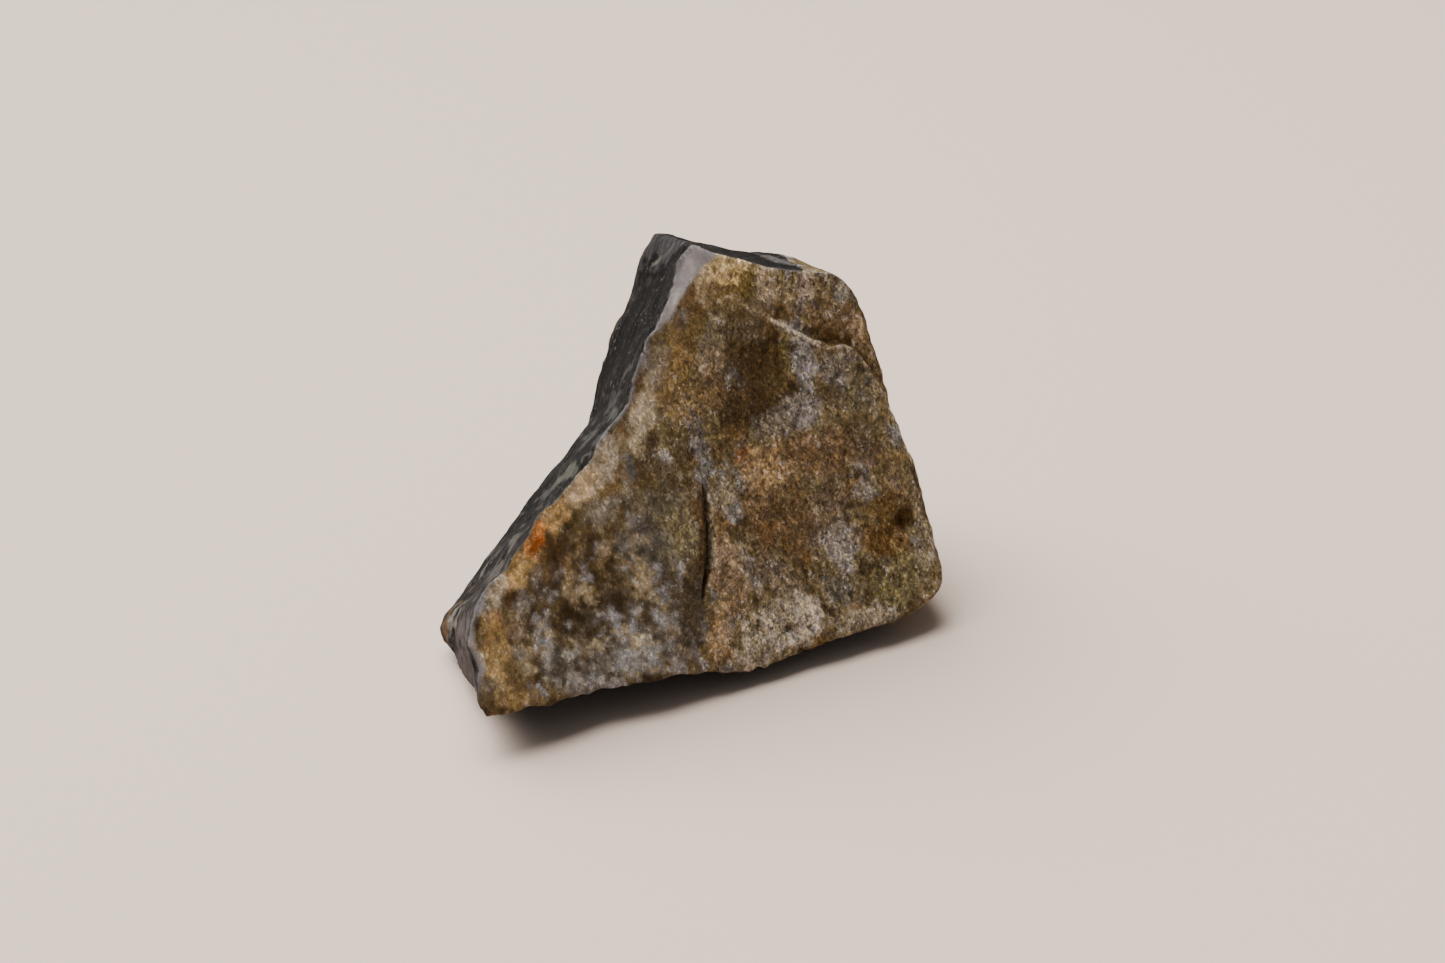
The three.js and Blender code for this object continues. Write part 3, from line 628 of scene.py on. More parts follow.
# Stains of the weathered face: place, half sizes, turn in degrees, screen colour and strength. The
# later ones lie over the earlier ones.
STAINS = [
    # the top: cream beside the chalcedony, then ochre, olive and grey going right
    ((7.6, 39.8), (4.2, 2.6), -25, (176, 156, 112), 0.95),
    ((5.4, 38.0), (1.1, 2.6), -10, (166, 146, 112), 0.85),
    ((9.6, 37.8), (2.0, 1.2), -20, (146, 120, 74), 0.8),
    ((10.2, 36.0), (1.5, 2.6), -10, (98, 78, 42), 0.85),
    ((6.6, 36.6), (1.8, 2.0), -10, (104, 83, 50), 0.8),
    ((12.9, 36.4), (1.6, 2.2), -10, (152, 132, 104), 0.85),
    ((11.2, 34.6), (1.8, 1.5), 0, (118, 96, 70), 0.7),
    ((15.0, 34.6), (0.8, 1.8), -5, (118, 94, 66), 0.75),
    ((17.2, 35.2), (1.5, 2.2), -15, (146, 124, 100), 0.8),
    ((17.0, 33.1), (1.4, 1.0), -20, (122, 112, 104), 0.7),
    ((19.7, 34.4), (1.3, 1.6), -25, (108, 88, 62), 0.8),
    ((22.0, 33.8), (0.9, 1.4), -10, (150, 138, 120), 0.8),
    # above the ledge
    ((19.0, 31.2), (3.6, 1.9), -28, (102, 79, 54), 0.9),
    # the lobe's brown, darkened with painted shade where it dips into the ledge's crease
    ((18.9, 29.7), (3.0, 0.9), -30, (76, 53, 30), 0.85),
    ((19.2, 31.9), (0.5, 0.4), 0, (160, 146, 128), 0.8),
    ((15.8, 31.5), (0.5, 0.4), 0, (158, 146, 124), 0.8),
    ((22.6, 29.2), (0.9, 1.9), -10, (152, 128, 96), 0.8),
    ((23.4, 24.0), (1.0, 5.5), -8, (118, 94, 62), 0.85),
    # the upper left
    ((-0.4, 31.0), (2.6, 4.0), -35, (122, 94, 54), 0.85),
    ((3.2, 34.6), (2.0, 1.8), -10, (94, 72, 42), 0.8),
    ((4.8, 33.0), (1.3, 1.7), -10, (104, 86, 66), 0.65),
    ((3.3, 30.0), (2.2, 2.6), -15, (126, 106, 82), 0.8),
    ((-1.5, 27.2), (3.2, 2.6), -35, (116, 90, 56), 0.8),
    ((2.6, 26.8), (2.2, 2.6), 0, (108, 82, 54), 0.75),
    # the dark brown patch and what surrounds it
    ((9.6, 27.6), (4.7, 5.8), -14, (62, 45, 28), 0.90),
    ((10.6, 25.6), (1.8, 1.4), 20, (82, 64, 38), 0.6),
    ((6.2, 24.2), (3.4, 2.6), 10, (62, 46, 30), 0.85),
    ((8.4, 32.4), (3.2, 1.3), -15, (86, 70, 52), 0.7),
    ((14.6, 31.0), (1.8, 1.4), 0, (122, 106, 90), 0.75),
    ((12.9, 28.8), (0.7, 3.0), -12, (98, 82, 46), 0.75),
    ((14.6, 27.6), (1.5, 3.4), -12, (128, 115, 104), 0.9),
    ((12.4, 21.9), (2.8, 1.9), 20, (126, 112, 100), 0.9),
    ((18.3, 25.4), (2.3, 2.6), -25, (112, 98, 84), 0.85),
    ((16.6, 23.3), (1.3, 1.5), 0, (74, 57, 40), 0.8),
    ((20.6, 22.8), (2.0, 2.8), -12, (86, 72, 52), 0.8),
    ((8.8, 22.0), (3.4, 1.5), 15, (110, 94, 76), 0.8),
    # the rusty band over the crack
    ((14.0, 17.2), (4.6, 2.8), 0, (102, 76, 52), 0.85),
    ((6.2, 17.8), (3.2, 2.6), 20, (142, 111, 73), 0.85),
    ((11.0, 17.6), (2.2, 1.8), 0, (86, 62, 40), 0.7),
    ((3.8, 19.5), (1.5, 0.5), 20, (104, 60, 34), 0.75),
    ((1.4, 20.0), (1.3, 1.2), 0, (70, 53, 34), 0.65),
    ((8.6, 16.9), (1.4, 1.1), 0, (122, 92, 60), 0.8),
    ((12.0, 19.6), (2.2, 0.8), 10, (118, 88, 60), 0.6),
    ((19.0, 17.0), (2.0, 2.4), 0, (92, 72, 50), 0.7),
    ((17.6, 12.0), (1.4, 1.2), 0, (134, 120, 104), 0.75),
    ((21.3, 12.6), (2.0, 2.6), 0, (100, 76, 50), 0.75),
    ((19.2, 9.4), (1.9, 1.9), 0, (102, 76, 44), 0.85),
    # right of the crack
    ((0.3, 15.6), (1.5, 1.9), -20, (140, 122, 96), 0.85),
    ((1.0, 13.6), (0.9, 1.3), -10, (138, 128, 118), 0.75),
    ((6.4, 11.0), (5.4, 3.0), 0, (90, 68, 46), 0.85),
    ((3.9, 13.6), (1.7, 1.4), 0, (118, 90, 62), 0.75),
    ((4.4, 10.8), (1.6, 1.2), 0, (108, 76, 46), 0.7),
    ((12.6, 11.8), (2.6, 2.4), 0, (112, 92, 70), 0.75),
    ((12.6, 6.6), (2.6, 2.9), 10, (136, 122, 108), 0.85),
    ((18.2, 5.9), (2.4, 2.4), 0, (88, 62, 34), 0.9),
    ((21.4, 8.0), (1.1, 1.1), 0, (62, 42, 24), 0.85),
    ((19.0, 1.4), (3.8, 3.0), 10, (108, 91, 58), 0.9),
    ((22.6, 3.2), (1.2, 1.6), 0, (132, 114, 88), 0.8),
    ((23.6, 6.6), (0.8, 4.4), 0, (128, 108, 80), 0.8),
    ((-1.6, 7.4), (2.6, 3.4), -10, (128, 102, 74), 0.85),
    ((3.8, 6.2), (3.4, 2.2), 0, (104, 84, 62), 0.75),
    ((10.8, 2.2), (1.8, 1.7), 0, (86, 76, 62), 0.8),
    ((3.2, 0.6), (6.2, 2.5), 8, (154, 139, 117), 0.85),
    ((5.4, -0.8), (2.6, 1.4), 8, (166, 152, 134), 0.8),
    ((12.5, -1.6), (4.5, 1.4), 0, (134, 116, 92), 0.8),
    ((-4.6, 1.8), (1.5, 3.4), -15, (152, 126, 88), 0.8),
    ((-2.2, 3.8), (1.6, 1.2), 0, (132, 102, 72), 0.6),
    ((-1.8, -1.2), (2.4, 1.0), 10, (142, 124, 94), 0.8),
    ((-1.2, -2.0), (2.6, 1.6), 10, (142, 126, 104), 0.9),
    # left of the crack
    ((-4.5, 10.6), (1.2, 4.6), -12, (66, 52, 36), 0.8),
    ((-6.0, 13.6), (2.6, 3.6), -10, (122, 104, 72), 0.8),
    ((-6.4, 19.4), (3.4, 2.8), 0, (78, 60, 37), 0.85),
    ((-9.4, 21.4), (0.7, 1.6), -10, (92, 86, 80), 0.7),
    ((-10.4, 13.0), (2.8, 3.8), 20, (86, 77, 64), 0.8),
    ((-7.6, 16.8), (3.0, 1.8), 10, (84, 72, 54), 0.7),
    ((-9.0, 5.2), (3.6, 5.0), 0, (66, 53, 40), 0.85),
    ((-17.0, 1.8), (6.5, 2.6), 8, (120, 109, 97), 0.75),
    ((-16.0, 6.4), (4.6, 3.0), 5, (68, 56, 43), 0.8),
    ((-20.0, 15.4), (1.8, 1.7), 0, (68, 48, 31), 0.85),
    # the left edge, from the elbow down to the tip
    ((-2.8, 31.4), (1.2, 2.4), -30, (128, 112, 88), 0.6),
    ((-6.0, 26.6), (1.6, 4.0), -32, (160, 144, 116), 0.9),
    ((-12.6, 22.4), (3.6, 2.2), 38, (154, 138, 112), 0.9),
    ((-16.6, 20.6), (3.6, 1.5), 30, (168, 148, 112), 0.9),
    ((-19.6, 18.6), (2.6, 1.5), 40, (156, 126, 76), 0.9),
    ((-22.6, 16.8), (2.2, 1.3), 42, (166, 112, 56), 0.95),
    ((-22.2, 16.1), (1.1, 0.7), 30, (128, 64, 28), 0.9),
    ((-23.7, 15.5), (0.8, 0.6), 30, (124, 62, 26), 0.9),
    ((-25.4, 14.0), (2.4, 1.6), 45, (162, 133, 80), 0.9),
    ((-28.6, 12.8), (1.8, 1.3), 45, (172, 158, 136), 0.9),
    ((-27.0, 11.4), (1.0, 0.9), 0, (62, 42, 26), 0.9),
    ((-29.6, 9.6), (1.0, 1.0), 0, (132, 92, 60), 0.8),
    ((-20.4, 7.4), (1.9, 1.7), 20, (56, 43, 32), 0.8),
    ((-24.0, 3.2), (2.8, 1.8), 0, (140, 129, 114), 0.85),
    ((-27.4, 7.8), (1.4, 1.2), 0, (130, 108, 84), 0.7),
    ((-14.2, 17.4), (2.4, 1.6), 30, (118, 104, 84), 0.75),
    ((-21.4, 11.0), (1.5, 1.2), 0, (66, 54, 40), 0.75),
    ((-30.2, 5.8), (2.0, 4.4), 0, (147, 118, 70), 0.9),
    ((-29.6, 1.4), (2.6, 1.8), 0, (124, 97, 60), 0.85),
    ((-33.0, 6.6), (0.9, 2.6), 0, (154, 138, 114), 0.7),
    ((-27.8, 4.0), (2.1, 2.6), 0, (94, 72, 46), 0.9),
]
# Blots, white, cream and brown: how far left on the face they begin and how far from its left edge,
# and the heights between which they thin out.
BLOTS_LEFT = (6.0, 14.0)
BLOTS_LEAN = 0.1
BLOTS_OFF_EDGE = (3.4, 7.0)
BLOTS_LOW = (10.0, 17.0)
BLOTS_THIN = 0.65
WHITE_BLOT = paint(142, 134, 127)
CREAM_BLOT = paint(150, 131, 98)
BROWN_BLOT = paint(46, 36, 25)
WHITE_BLOTS = (0.02, 0.34)  # between which values of its noise each begins
BROWN_BLOTS = (0.05, 0.32)
CREAM_BLOTS = (0.10, 0.28)
# Specks, as a share of the colour under them.
PALE_SPECK = 1.6
PALE_SPECK_LIFT = 0.01
PALE_SPECKS = (0.12, 0.40)
DARK_SPECK = 0.45
DARK_SPECKS = (0.10, 0.40)
# The grain is worn soft at the left of the face and along its left edge.
SOFT_LEFT = (0.0, 13.0)
SOFT_EDGE = (1.5, 7.0)
SOFT = 0.4

PIT_BROWN = paint(48, 38, 28)
# Painted shade in the ledge's crease and a painted highlight on its lip, by the distance over its
# line.
CREASE_SHADE = paint(62, 44, 26)
CREASE_FROM = (0, 0.25)
CREASE_TO = (0.5, 1.5)
LIP_HIGHLIGHT = paint(172, 158, 138)
LIP_FROM = (-0.6, -0.25)
LIP_TO = (-0.05, 0.15)
LIP_STARTS = (11.4, 12.6)
LIP_FADES = (16.0, 19.0)
LIP_FADE = 0.7
LIP_RAG = (-0.6, 0.0)
# The crack: brown inside, with a painted shade on the side that slopes in, and along the other one
# a pale rim that is a painted highlight.
AT_CRACK = 0.1
CRACK_BROWN = paint(74, 50, 30)
CRACK_DARK = (0.3, 0.9)
CRACK_SHADE = paint(58, 42, 28)
CRACK_SHADE_ENDS = (0.6, 1.6)
CRACK_RIM_HIGHLIGHT = paint(138, 122, 96)
CRACK_RIM_ENDS = (0.6, 1.1)
CRACK_RAG = 0.3
# The clear strip: cloudy in places.
MILK_SPACING = 2.2
MILK_RAG = 0.4
MILK = (-0.3, 0.5)
STRIP_RAG = 0.25

RIND_OVER_TOP = (17.4, 18.6)  # how far along the broken top the rind takes over
RIND_OVER_LEAN = 0.25
RIND_OVER_SPACING = 1.4
RIND_THICK = 8.0

# The inside of the stone, seen on its broken faces.
INSIDE = dark_paint(44, 41, 42)
INSIDE_PALE = dark_paint(74, 71, 71)
UNDER_RIND = dark_paint(150, 143, 136)
UNDER_RIND_BROWN = dark_paint(126, 104, 78)
CLOUDS = (0.05, 0.75)
ON_WALL = -1
RIM_RAG = 0.15
RIM = (0.1, 0.6)
UNDER_RAG = (-0.7, 0.4)
# Stains of the left wall, by height on the face and depth.
WALL_STAINS = [
    ((11.5, 9.5), (4.5, 12.0), 0, (80, 75, 72), 0.65),
    ((44.4, 10.6), (2.4, 5.4), 0, (88, 84, 84), 0.75),
    ((29.2, 10.5), (0.7, 3.0), 0, (88, 86, 84), 0.7),
    ((27.6, 8.0), (0.6, 2.4), 10, (104, 103, 98), 0.75),
    ((25.8, 12.6), (0.7, 3.0), 10, (104, 102, 97), 0.75),
    ((25.2, 6.2), (0.5, 1.8), -10, (98, 96, 92), 0.7),
    ((22.9, 10.4), (0.8, 3.4), 10, (122, 120, 108), 0.8),
    ((21.6, 15.2), (0.6, 2.2), 0, (92, 90, 86), 0.7),
    ((19.8, 8.0), (0.5, 2.2), 0, (104, 102, 96), 0.75),
    ((17.2, 10.6), (0.8, 3.0), -10, (116, 113, 101), 0.8),
    ((14.6, 8.6), (1.2, 4.2), 0, (112, 105, 99), 0.75),
    ((11.6, 15.6), (2.2, 3.0), 0, (52, 48, 46), 0.85),
    ((10.6, 15.4), (1.5, 2.2), 0, (150, 143, 134), 0.9),
    ((10.6, 17.9), (3.0, 0.6), 0, (118, 90, 58), 0.9),
    ((9.0, 7.0), (2.6, 4.5), 0, (124, 115, 110), 0.8),
    ((5.0, 9.0), (3.4, 6.0), 0, (110, 101, 96), 0.85),
]
CRUMB_SIZE = 0.9  # of the pale crumbs low on the left wall, which are drawn out into the stone
CRUMB_DRAWN_OUT = 3.6
CRUMBS = (0.12, 0.42)
CRUMBS_END = (27.0, 32.0)  # they stop between these heights
CRUMB = dark_paint(112, 109, 102)
STREAKS_BEGIN = (18.0, 32.0)  # and there its streaks grow strong
LINE_RAG = 0.5
LINE_ENDS = 3  # a line fades out at this many half widths
LINE_BROKEN = (-0.6, 0.4)
# Pale lines on it: points, half width, screen colour and strength.
WALL_LINES = [
    ([(43.9, 6.6), (43.2, 7.4), (42.9, 8.9), (42.8, 10.7)], 0.13, (140, 137, 128), 0.7),
    ([(44.4, 3.2), (43.5, 4.5), (43.0, 6.2)], 0.10, (130, 127, 120), 0.6),
    ([(33.8, 2.0), (32.4, 5.2), (31.8, 8.0), (30.4, 10.0)], 0.14, (104, 100, 98), 0.6),
    ([(16.6, 17.2), (15.6, 17.6), (14.9, 17.0)], 0.2, (140, 134, 126), 0.7),
]
# Stains of the top, by the place across the face and depth.
TOP_STAINS = [
    ((18.0, 5.8), (0.9, 3.6), 0, (128, 122, 116), 0.75),
    ((21.0, 4.0), (1.0, 4.0), 0, (64, 60, 58), 0.8),
]


def mixed(under, over, share):
    """One colour over another, by a share for each place."""
    return under + (over - under) * np.asarray(share)[:, None]


def spotted(tone, colour, strength, pattern, starts):
    """A colour with another one over it, where a pattern is high."""
    return mixed(tone, colour, strength * smoothstep(pattern, *starts))


def stained(tone, x, y, rag, here, stains, painter):
    """A colour with stains over it. Their edges are ragged, and here says where they may be."""
    for (place_x, place_y), (half_x, half_y), turn, colour, strength in stains:
        angle = math.radians(turn)
        dx, dy = x - place_x, y - place_y
        along = (dx * math.cos(angle) + dy * math.sin(angle)) / half_x
        aside = (dy * math.cos(angle) - dx * math.sin(angle)) / half_y
        inside = 1 - smoothstep(np.hypot(along, aside) + rag, *STAIN_ENDS)
        tone = mixed(tone, painter(*colour), strength * inside * here)
    return tone


def with_ledge(tone, across, front, above, rag):
    """A colour with painted shade in the ledge's crease and a painted highlight on its lip, which is
    whitest where the ledge starts.
    """
    crease = smoothstep(above, *CREASE_FROM) * (1 - smoothstep(above, *CREASE_TO))
    tone = mixed(tone, CREASE_SHADE, STRENGTH["crease"] * (ledge_reach(across) * front) * crease)
    lip = smoothstep(above, *LIP_FROM) * (1 - smoothstep(above, *LIP_TO))
    lip *= smoothstep(across, *LIP_STARTS) * (1 - LIP_FADE * smoothstep(across, *LIP_FADES))
    return spotted(tone, LIP_HIGHLIGHT, STRENGTH["lip"] * lip * front, rag, LIP_RAG)


def with_crack(tone, across, up, deep, front, at_crack, rag):
    """A colour with the crack's brown over it, and a painted shade and a painted highlight beside it.
    """
    tone = spotted(tone, CRACK_BROWN, STRENGTH["crack"] * at_crack, deep, CRACK_DARK)
    off = from_line(CRACK_LINE[1:-1], across, up)[0] + CRACK_RAG * rag
    sloping = side_of(CRACK_LINE, across, up) > 0
    shade = STRENGTH["crack shade"] * front * sloping
    tone = mixed(tone, CRACK_SHADE, shade * (1 - smoothstep(off, *CRACK_SHADE_ENDS)))
    rim = STRENGTH["crack rim"] * front * ~sloping
    return mixed(tone, CRACK_RIM_HIGHLIGHT, rim * (1 - smoothstep(off, *CRACK_RIM_ENDS)))


def rind_colour(places, across, up, deep, front, at_crack):
    """The colour of the weathered rind, how much of it is clear, and how crisp its grain is."""
    here = np.stack([across, GRAIN_RUN * up, deep], 1)
    rag = pattern(here, *RAG)
    olive = noise(here / OLIVE_SPACING + OLIVE_AT) + rag
    tone = mixed(RIND_BROWN, RIND_OLIVE, smoothstep(olive, *OLIVE))
    for i, (colour, spacing, start) in enumerate(RIND_PATCHES, 2):
        patch = pattern(here, PATCHES_AT * i, [(spacing, PATCH), *PATCH_GRAIN])
        starts = (start - PATCH_SOFT, start + PATCH_SOFT)
        tone = spotted(tone, colour, STRENGTH["patches"], patch, starts)
    warp_x = WARP * noise(places / WARP_SPACING + WARP_X_AT)
    warp_y = WARP * noise(places / WARP_SPACING + WARP_Y_AT)
    tone = stained(tone, across + warp_x, up + warp_y, rag, front, STAINS, paint)

    # Pale and dark specks all over, then the blots of the lower left, as thick as lace.
    specks = pattern(here, *SPECKS)
    pale = PALE_SPECK * tone + PALE_SPECK_LIFT
    tone = spotted(tone, pale, STRENGTH["pale specks"], specks, PALE_SPECKS)
    tone = spotted(tone, DARK_SPECK * tone, STRENGTH["dark specks"], -specks, DARK_SPECKS)
    to_edge = -side_of(LEFT_EDGE, across, up)
    blotchy = smoothstep(BLOTS_LEAN * up - across, *BLOTS_LEFT) * front
    blotchy *= smoothstep(to_edge + rag, *BLOTS_OFF_EDGE)
    blotchy *= 1 - BLOTS_THIN * smoothstep(up, *BLOTS_LOW)
    lace = pattern(places, *LACE)
    tone = spotted(tone, WHITE_BLOT, STRENGTH["white blots"] * blotchy, lace, WHITE_BLOTS)
    tone = spotted(tone, BROWN_BLOT, STRENGTH["brown blots"] * blotchy, -lace, BROWN_BLOTS)
    blobs = pattern(places, *BLOBS)
    tone = spotted(tone, CREAM_BLOT, STRENGTH["cream blots"] * blotchy, blobs, CREAM_BLOTS)

    tone = mixed(tone, PIT_BROWN, STRENGTH["pits"] * pitted(places, across, up) * front)
    tone = with_ledge(tone, across, front, above_ledge(places, across, up), rag)
    tone = with_crack(tone, across, up, deep, front, at_crack, rag)
    clear = clear_strip(across, up, rag) * front
    milky = smoothstep(noise(places / MILK_SPACING + MILK_AT) + MILK_RAG * rag, *MILK)
    strip = mixed(CHALCEDONY, CHALCEDONY_PALE, milky) * (1 + STRIP_RAG * rag[:, None])
    soft = np.maximum(smoothstep(-across, *SOFT_LEFT), 1 - smoothstep(to_edge, *SOFT_EDGE))
    return mixed(tone, strip, clear), clear, 1 - SOFT * soft * front


def inside_colour(places, across, up, deep, faces, side):
    """The colour of the stone's inside, which the broken faces show."""
    cloud = pattern(places, *CLOUD)
    tone = mixed(INSIDE, INSIDE_PALE, smoothstep(cloud, *CLOUDS))
    on_left = faces["left"] > ON_WALL
    on_top = (faces["top"] > ON_WALL) & ~on_left
    rag = pattern(places, *INSIDE_RAG)
    tone = stained(tone, up, deep, rag, on_left, WALL_STAINS, dark_paint)
    tone = stained(tone, across, deep, rag, on_top, TOP_STAINS, dark_paint)
    drawn_out = np.column_stack([up, deep / CRUMB_DRAWN_OUT, across / CRUMB_DRAWN_OUT])
    crumb = layered_noise(drawn_out, [(CRUMB_SIZE, 0.8), (CRUMB_SIZE / 2, 0.5)])
    crumbs = smoothstep(crumb, *CRUMBS) * (1 - smoothstep(up, *CRUMBS_END)) * on_left
    tone = mixed(tone, CRUMB, STRENGTH["crumbs"] * crumbs)
    for line, half_width, colour, strength in WALL_LINES:
        off = from_line(line, up + LINE_RAG * rag, deep)[0]
        drawn = 1 - smoothstep(off, half_width, LINE_ENDS * half_width)
        drawn *= smoothstep(rag, *LINE_BROKEN)
        tone = mixed(tone, dark_paint(*colour), strength * drawn * on_left)
    far_side = (faces["back_left"] > faces["front"])[:, None]
    under = np.where(far_side, UNDER_RIND_BROWN, UNDER_RIND)
    rim = 1 - smoothstep(side + RIM_RAG * rag, *RIM)
    return spotted(tone, under, STRENGTH["under rind"] * rim, rag, UNDER_RAG)


RIND_FACES = ("front", "right", "back", "back_right", "back_left")
BROKEN_FACES = ("left", "top", "under_left", "under_right", "bottom")
EDGE_LIT = (-0.8, -0.1)  # where the rind turns over the left edge, into the light
# painted shade over the rind there, as a share of its colour, against the light that the edge catches
EDGE_PAINTED_SHADE = 0.6
EDGE_DEEP = (2.0, 6.0)  # the edge ends between these depths
BEHIND = (8.0, 18.0)  # between these depths the rind grows darker, towards the back
BEHIND_DIM = 0.5
FRONT_ENDS = (-2.6, -1.0)  # how far under the front, right and bottom faces the front's marks end
FOOT = 0.15  # up to this height the stone shows its inside
SUGARY = (0.04, 0.24)  # how light the rind is where it turns sugary


def stone_colours(places):
    """What the shader is told at each place: the colours of the rind and the inside, how clear and
    sugary the rind is, how crisp its grain or the inside's streaks are, and how far under the rind
    a broken face lies there."""
    faces = stone_faces(places)
    across, up, deep = on_face(places)
    at_crack = crack_distance(across, up, deep) < AT_CRACK
    side = np.max([faces[name] for name in BROKEN_FACES], axis=0)
    side = side - np.max([faces[name] for name in RIND_FACES], axis=0)
    # The rind comes down over the right end of the broken top.
    ragged = across - RIND_OVER_LEAN * deep + noise(places / RIND_OVER_SPACING)
    side = side - RIND_THICK * smoothstep(ragged, *RIND_OVER_TOP) * (faces["top"] > faces["left"])
    side = np.where(places[:, 2] < FOOT, 1.0, side)
    side = np.where(at_crack, -1.0, side)
    front = np.maximum(faces["front"], np.maximum(faces["right"], faces["bottom"]))
    front = np.maximum(smoothstep(front, *FRONT_ENDS), at_crack)
    rind, clear, crisp = rind_colour(places, across, up, deep, front, at_crack)
    # Painted shade where the rind turns over the left edge into the light; the rind also grows darker
    # towards the back.
    edge_shade = smoothstep(faces["left"] - faces["front"], *EDGE_LIT)
    edge_shade *= 1 - smoothstep(deep, *EDGE_DEEP)
    dimmed = np.maximum(EDGE_PAINTED_SHADE * edge_shade, BEHIND_DIM * smoothstep(deep, *BEHIND))
    rind *= 1 - dimmed[:, None]
    opaque = np.ones(len(places))
    return {
        "rind": np.column_stack([rind, opaque]),
        "inside": np.column_stack([inside_colour(places, across, up, deep, faces, side), opaque]),
        "clear": clear,
        "sugary": smoothstep(rind.mean(axis=1), *SUGARY) * (1 - clear),
        "crisp": np.where(side > 0, smoothstep(up, *STREAKS_BEGIN), crisp),
        "side": side,
    }


# ---- Materials


# The shader's noises: scale, detail and roughness, for some a distortion, and for some a shift.
NOISES = {
    "mottle": (1.5, 5.0, 0.72, 0.8),
    "grit": (3.6, 5.0, 0.72),
    "tint": (1.3, 5.0, 0.72, 0.0, (40.0, 0.0, 7.0)),
    "patchy": (1.1, 5.0, 0.7, 0.6, (9.0, 2.0, 6.0)),
    "cluster": (0.55, 4.0, 0.7, 0.0, (0.0, 0.0, 17.0)),
    "streak": (2.2, 6.0, 0.68),
    "fleck": (1.9, 6.0, 0.78, 0.0, (0.0, 9.0, 30.0)),
    "flecked": (0.28, 4.0, 0.7, 0.0, (6.0, 0.0, 2.0)),
    "line": (0.8, 3.0, 0.55, 0.8, (3.0, 1.0, 8.0)),
}
# How a value turns into a shade: from and to, and the shade at either end.
SHADES = {
    "mottle": (0.36, 0.64, 0.55, 1.45), "grit": (0.34, 0.66, 0.75, 1.25),
    "coarse": (0.0, 1.0, 0.86, 1.14), "fine": (0.0, 1.0, 0.60, 1.40),
    "patchy": (0.38, 0.62, 0.45, 1.50), "speck": (0.0, 1.0, 0.95, 1.55),
    "streak": (0.34, 0.66, 0.45, 1.65),
}
# Between which values something begins to show.
STARTS = {
    "tint": (0.40, 0.60), "speck": (0.80, 0.95), "pore": (0.16, 0.10), "pores": (0.52, 0.42),
    "coarse light": (0.955, 0.975), "fine light": (0.90, 0.93), "lights": (0.50, 0.60),
    "streaks": (0.0, 1.0, 0.4, 1.0), "flecked": (0.44, 0.64), "fleck": (0.555, 0.64),
    "line": (0.008, 0.001), "broken": (0.45, 0.60), "inside": (-0.02, 0.06),
}
YELLOWISH = (1.02, 1.0, 0.84, 1.0)
BLUISH = (0.97, 1.0, 1.12, 1.0)
PORE = paint(36, 26, 16)
LIGHT_GRAIN = paint(176, 166, 152)
FLECK = dark_paint(142, 138, 133)
THIN_LINE = dark_paint(150, 146, 138)
UPRIGHT = (1.0, 0.8, 1.0)
COARSE_GRAINS = 2.6
FINE_GRAINS = 4.4
FINE_SHIFT = (5.0, 3.0, 1.0)
GRAIN_WARP_SCALE = 3.0
GRAIN_WARP = (0.6, 0.6, 0.6)
COARSE_SPECKS = 0.25
FLECKS_ALL_OVER = 0.12
BORDER_RAG = 0.7
ROUGH = 0.80
ROUGH_INSIDE = 0.85
LIGHT_SHINE = 0.35
CLEAR_SHINE = 0.40
CLEAR_SMOOTH = 0.75
GRAIN_HEIGHT = 0.2
STREAK_HEIGHT = 0.5
BUMP_DISTANCE = 0.00030
GLOSS = 0.1
FLOOR_GLOSS = 0.2


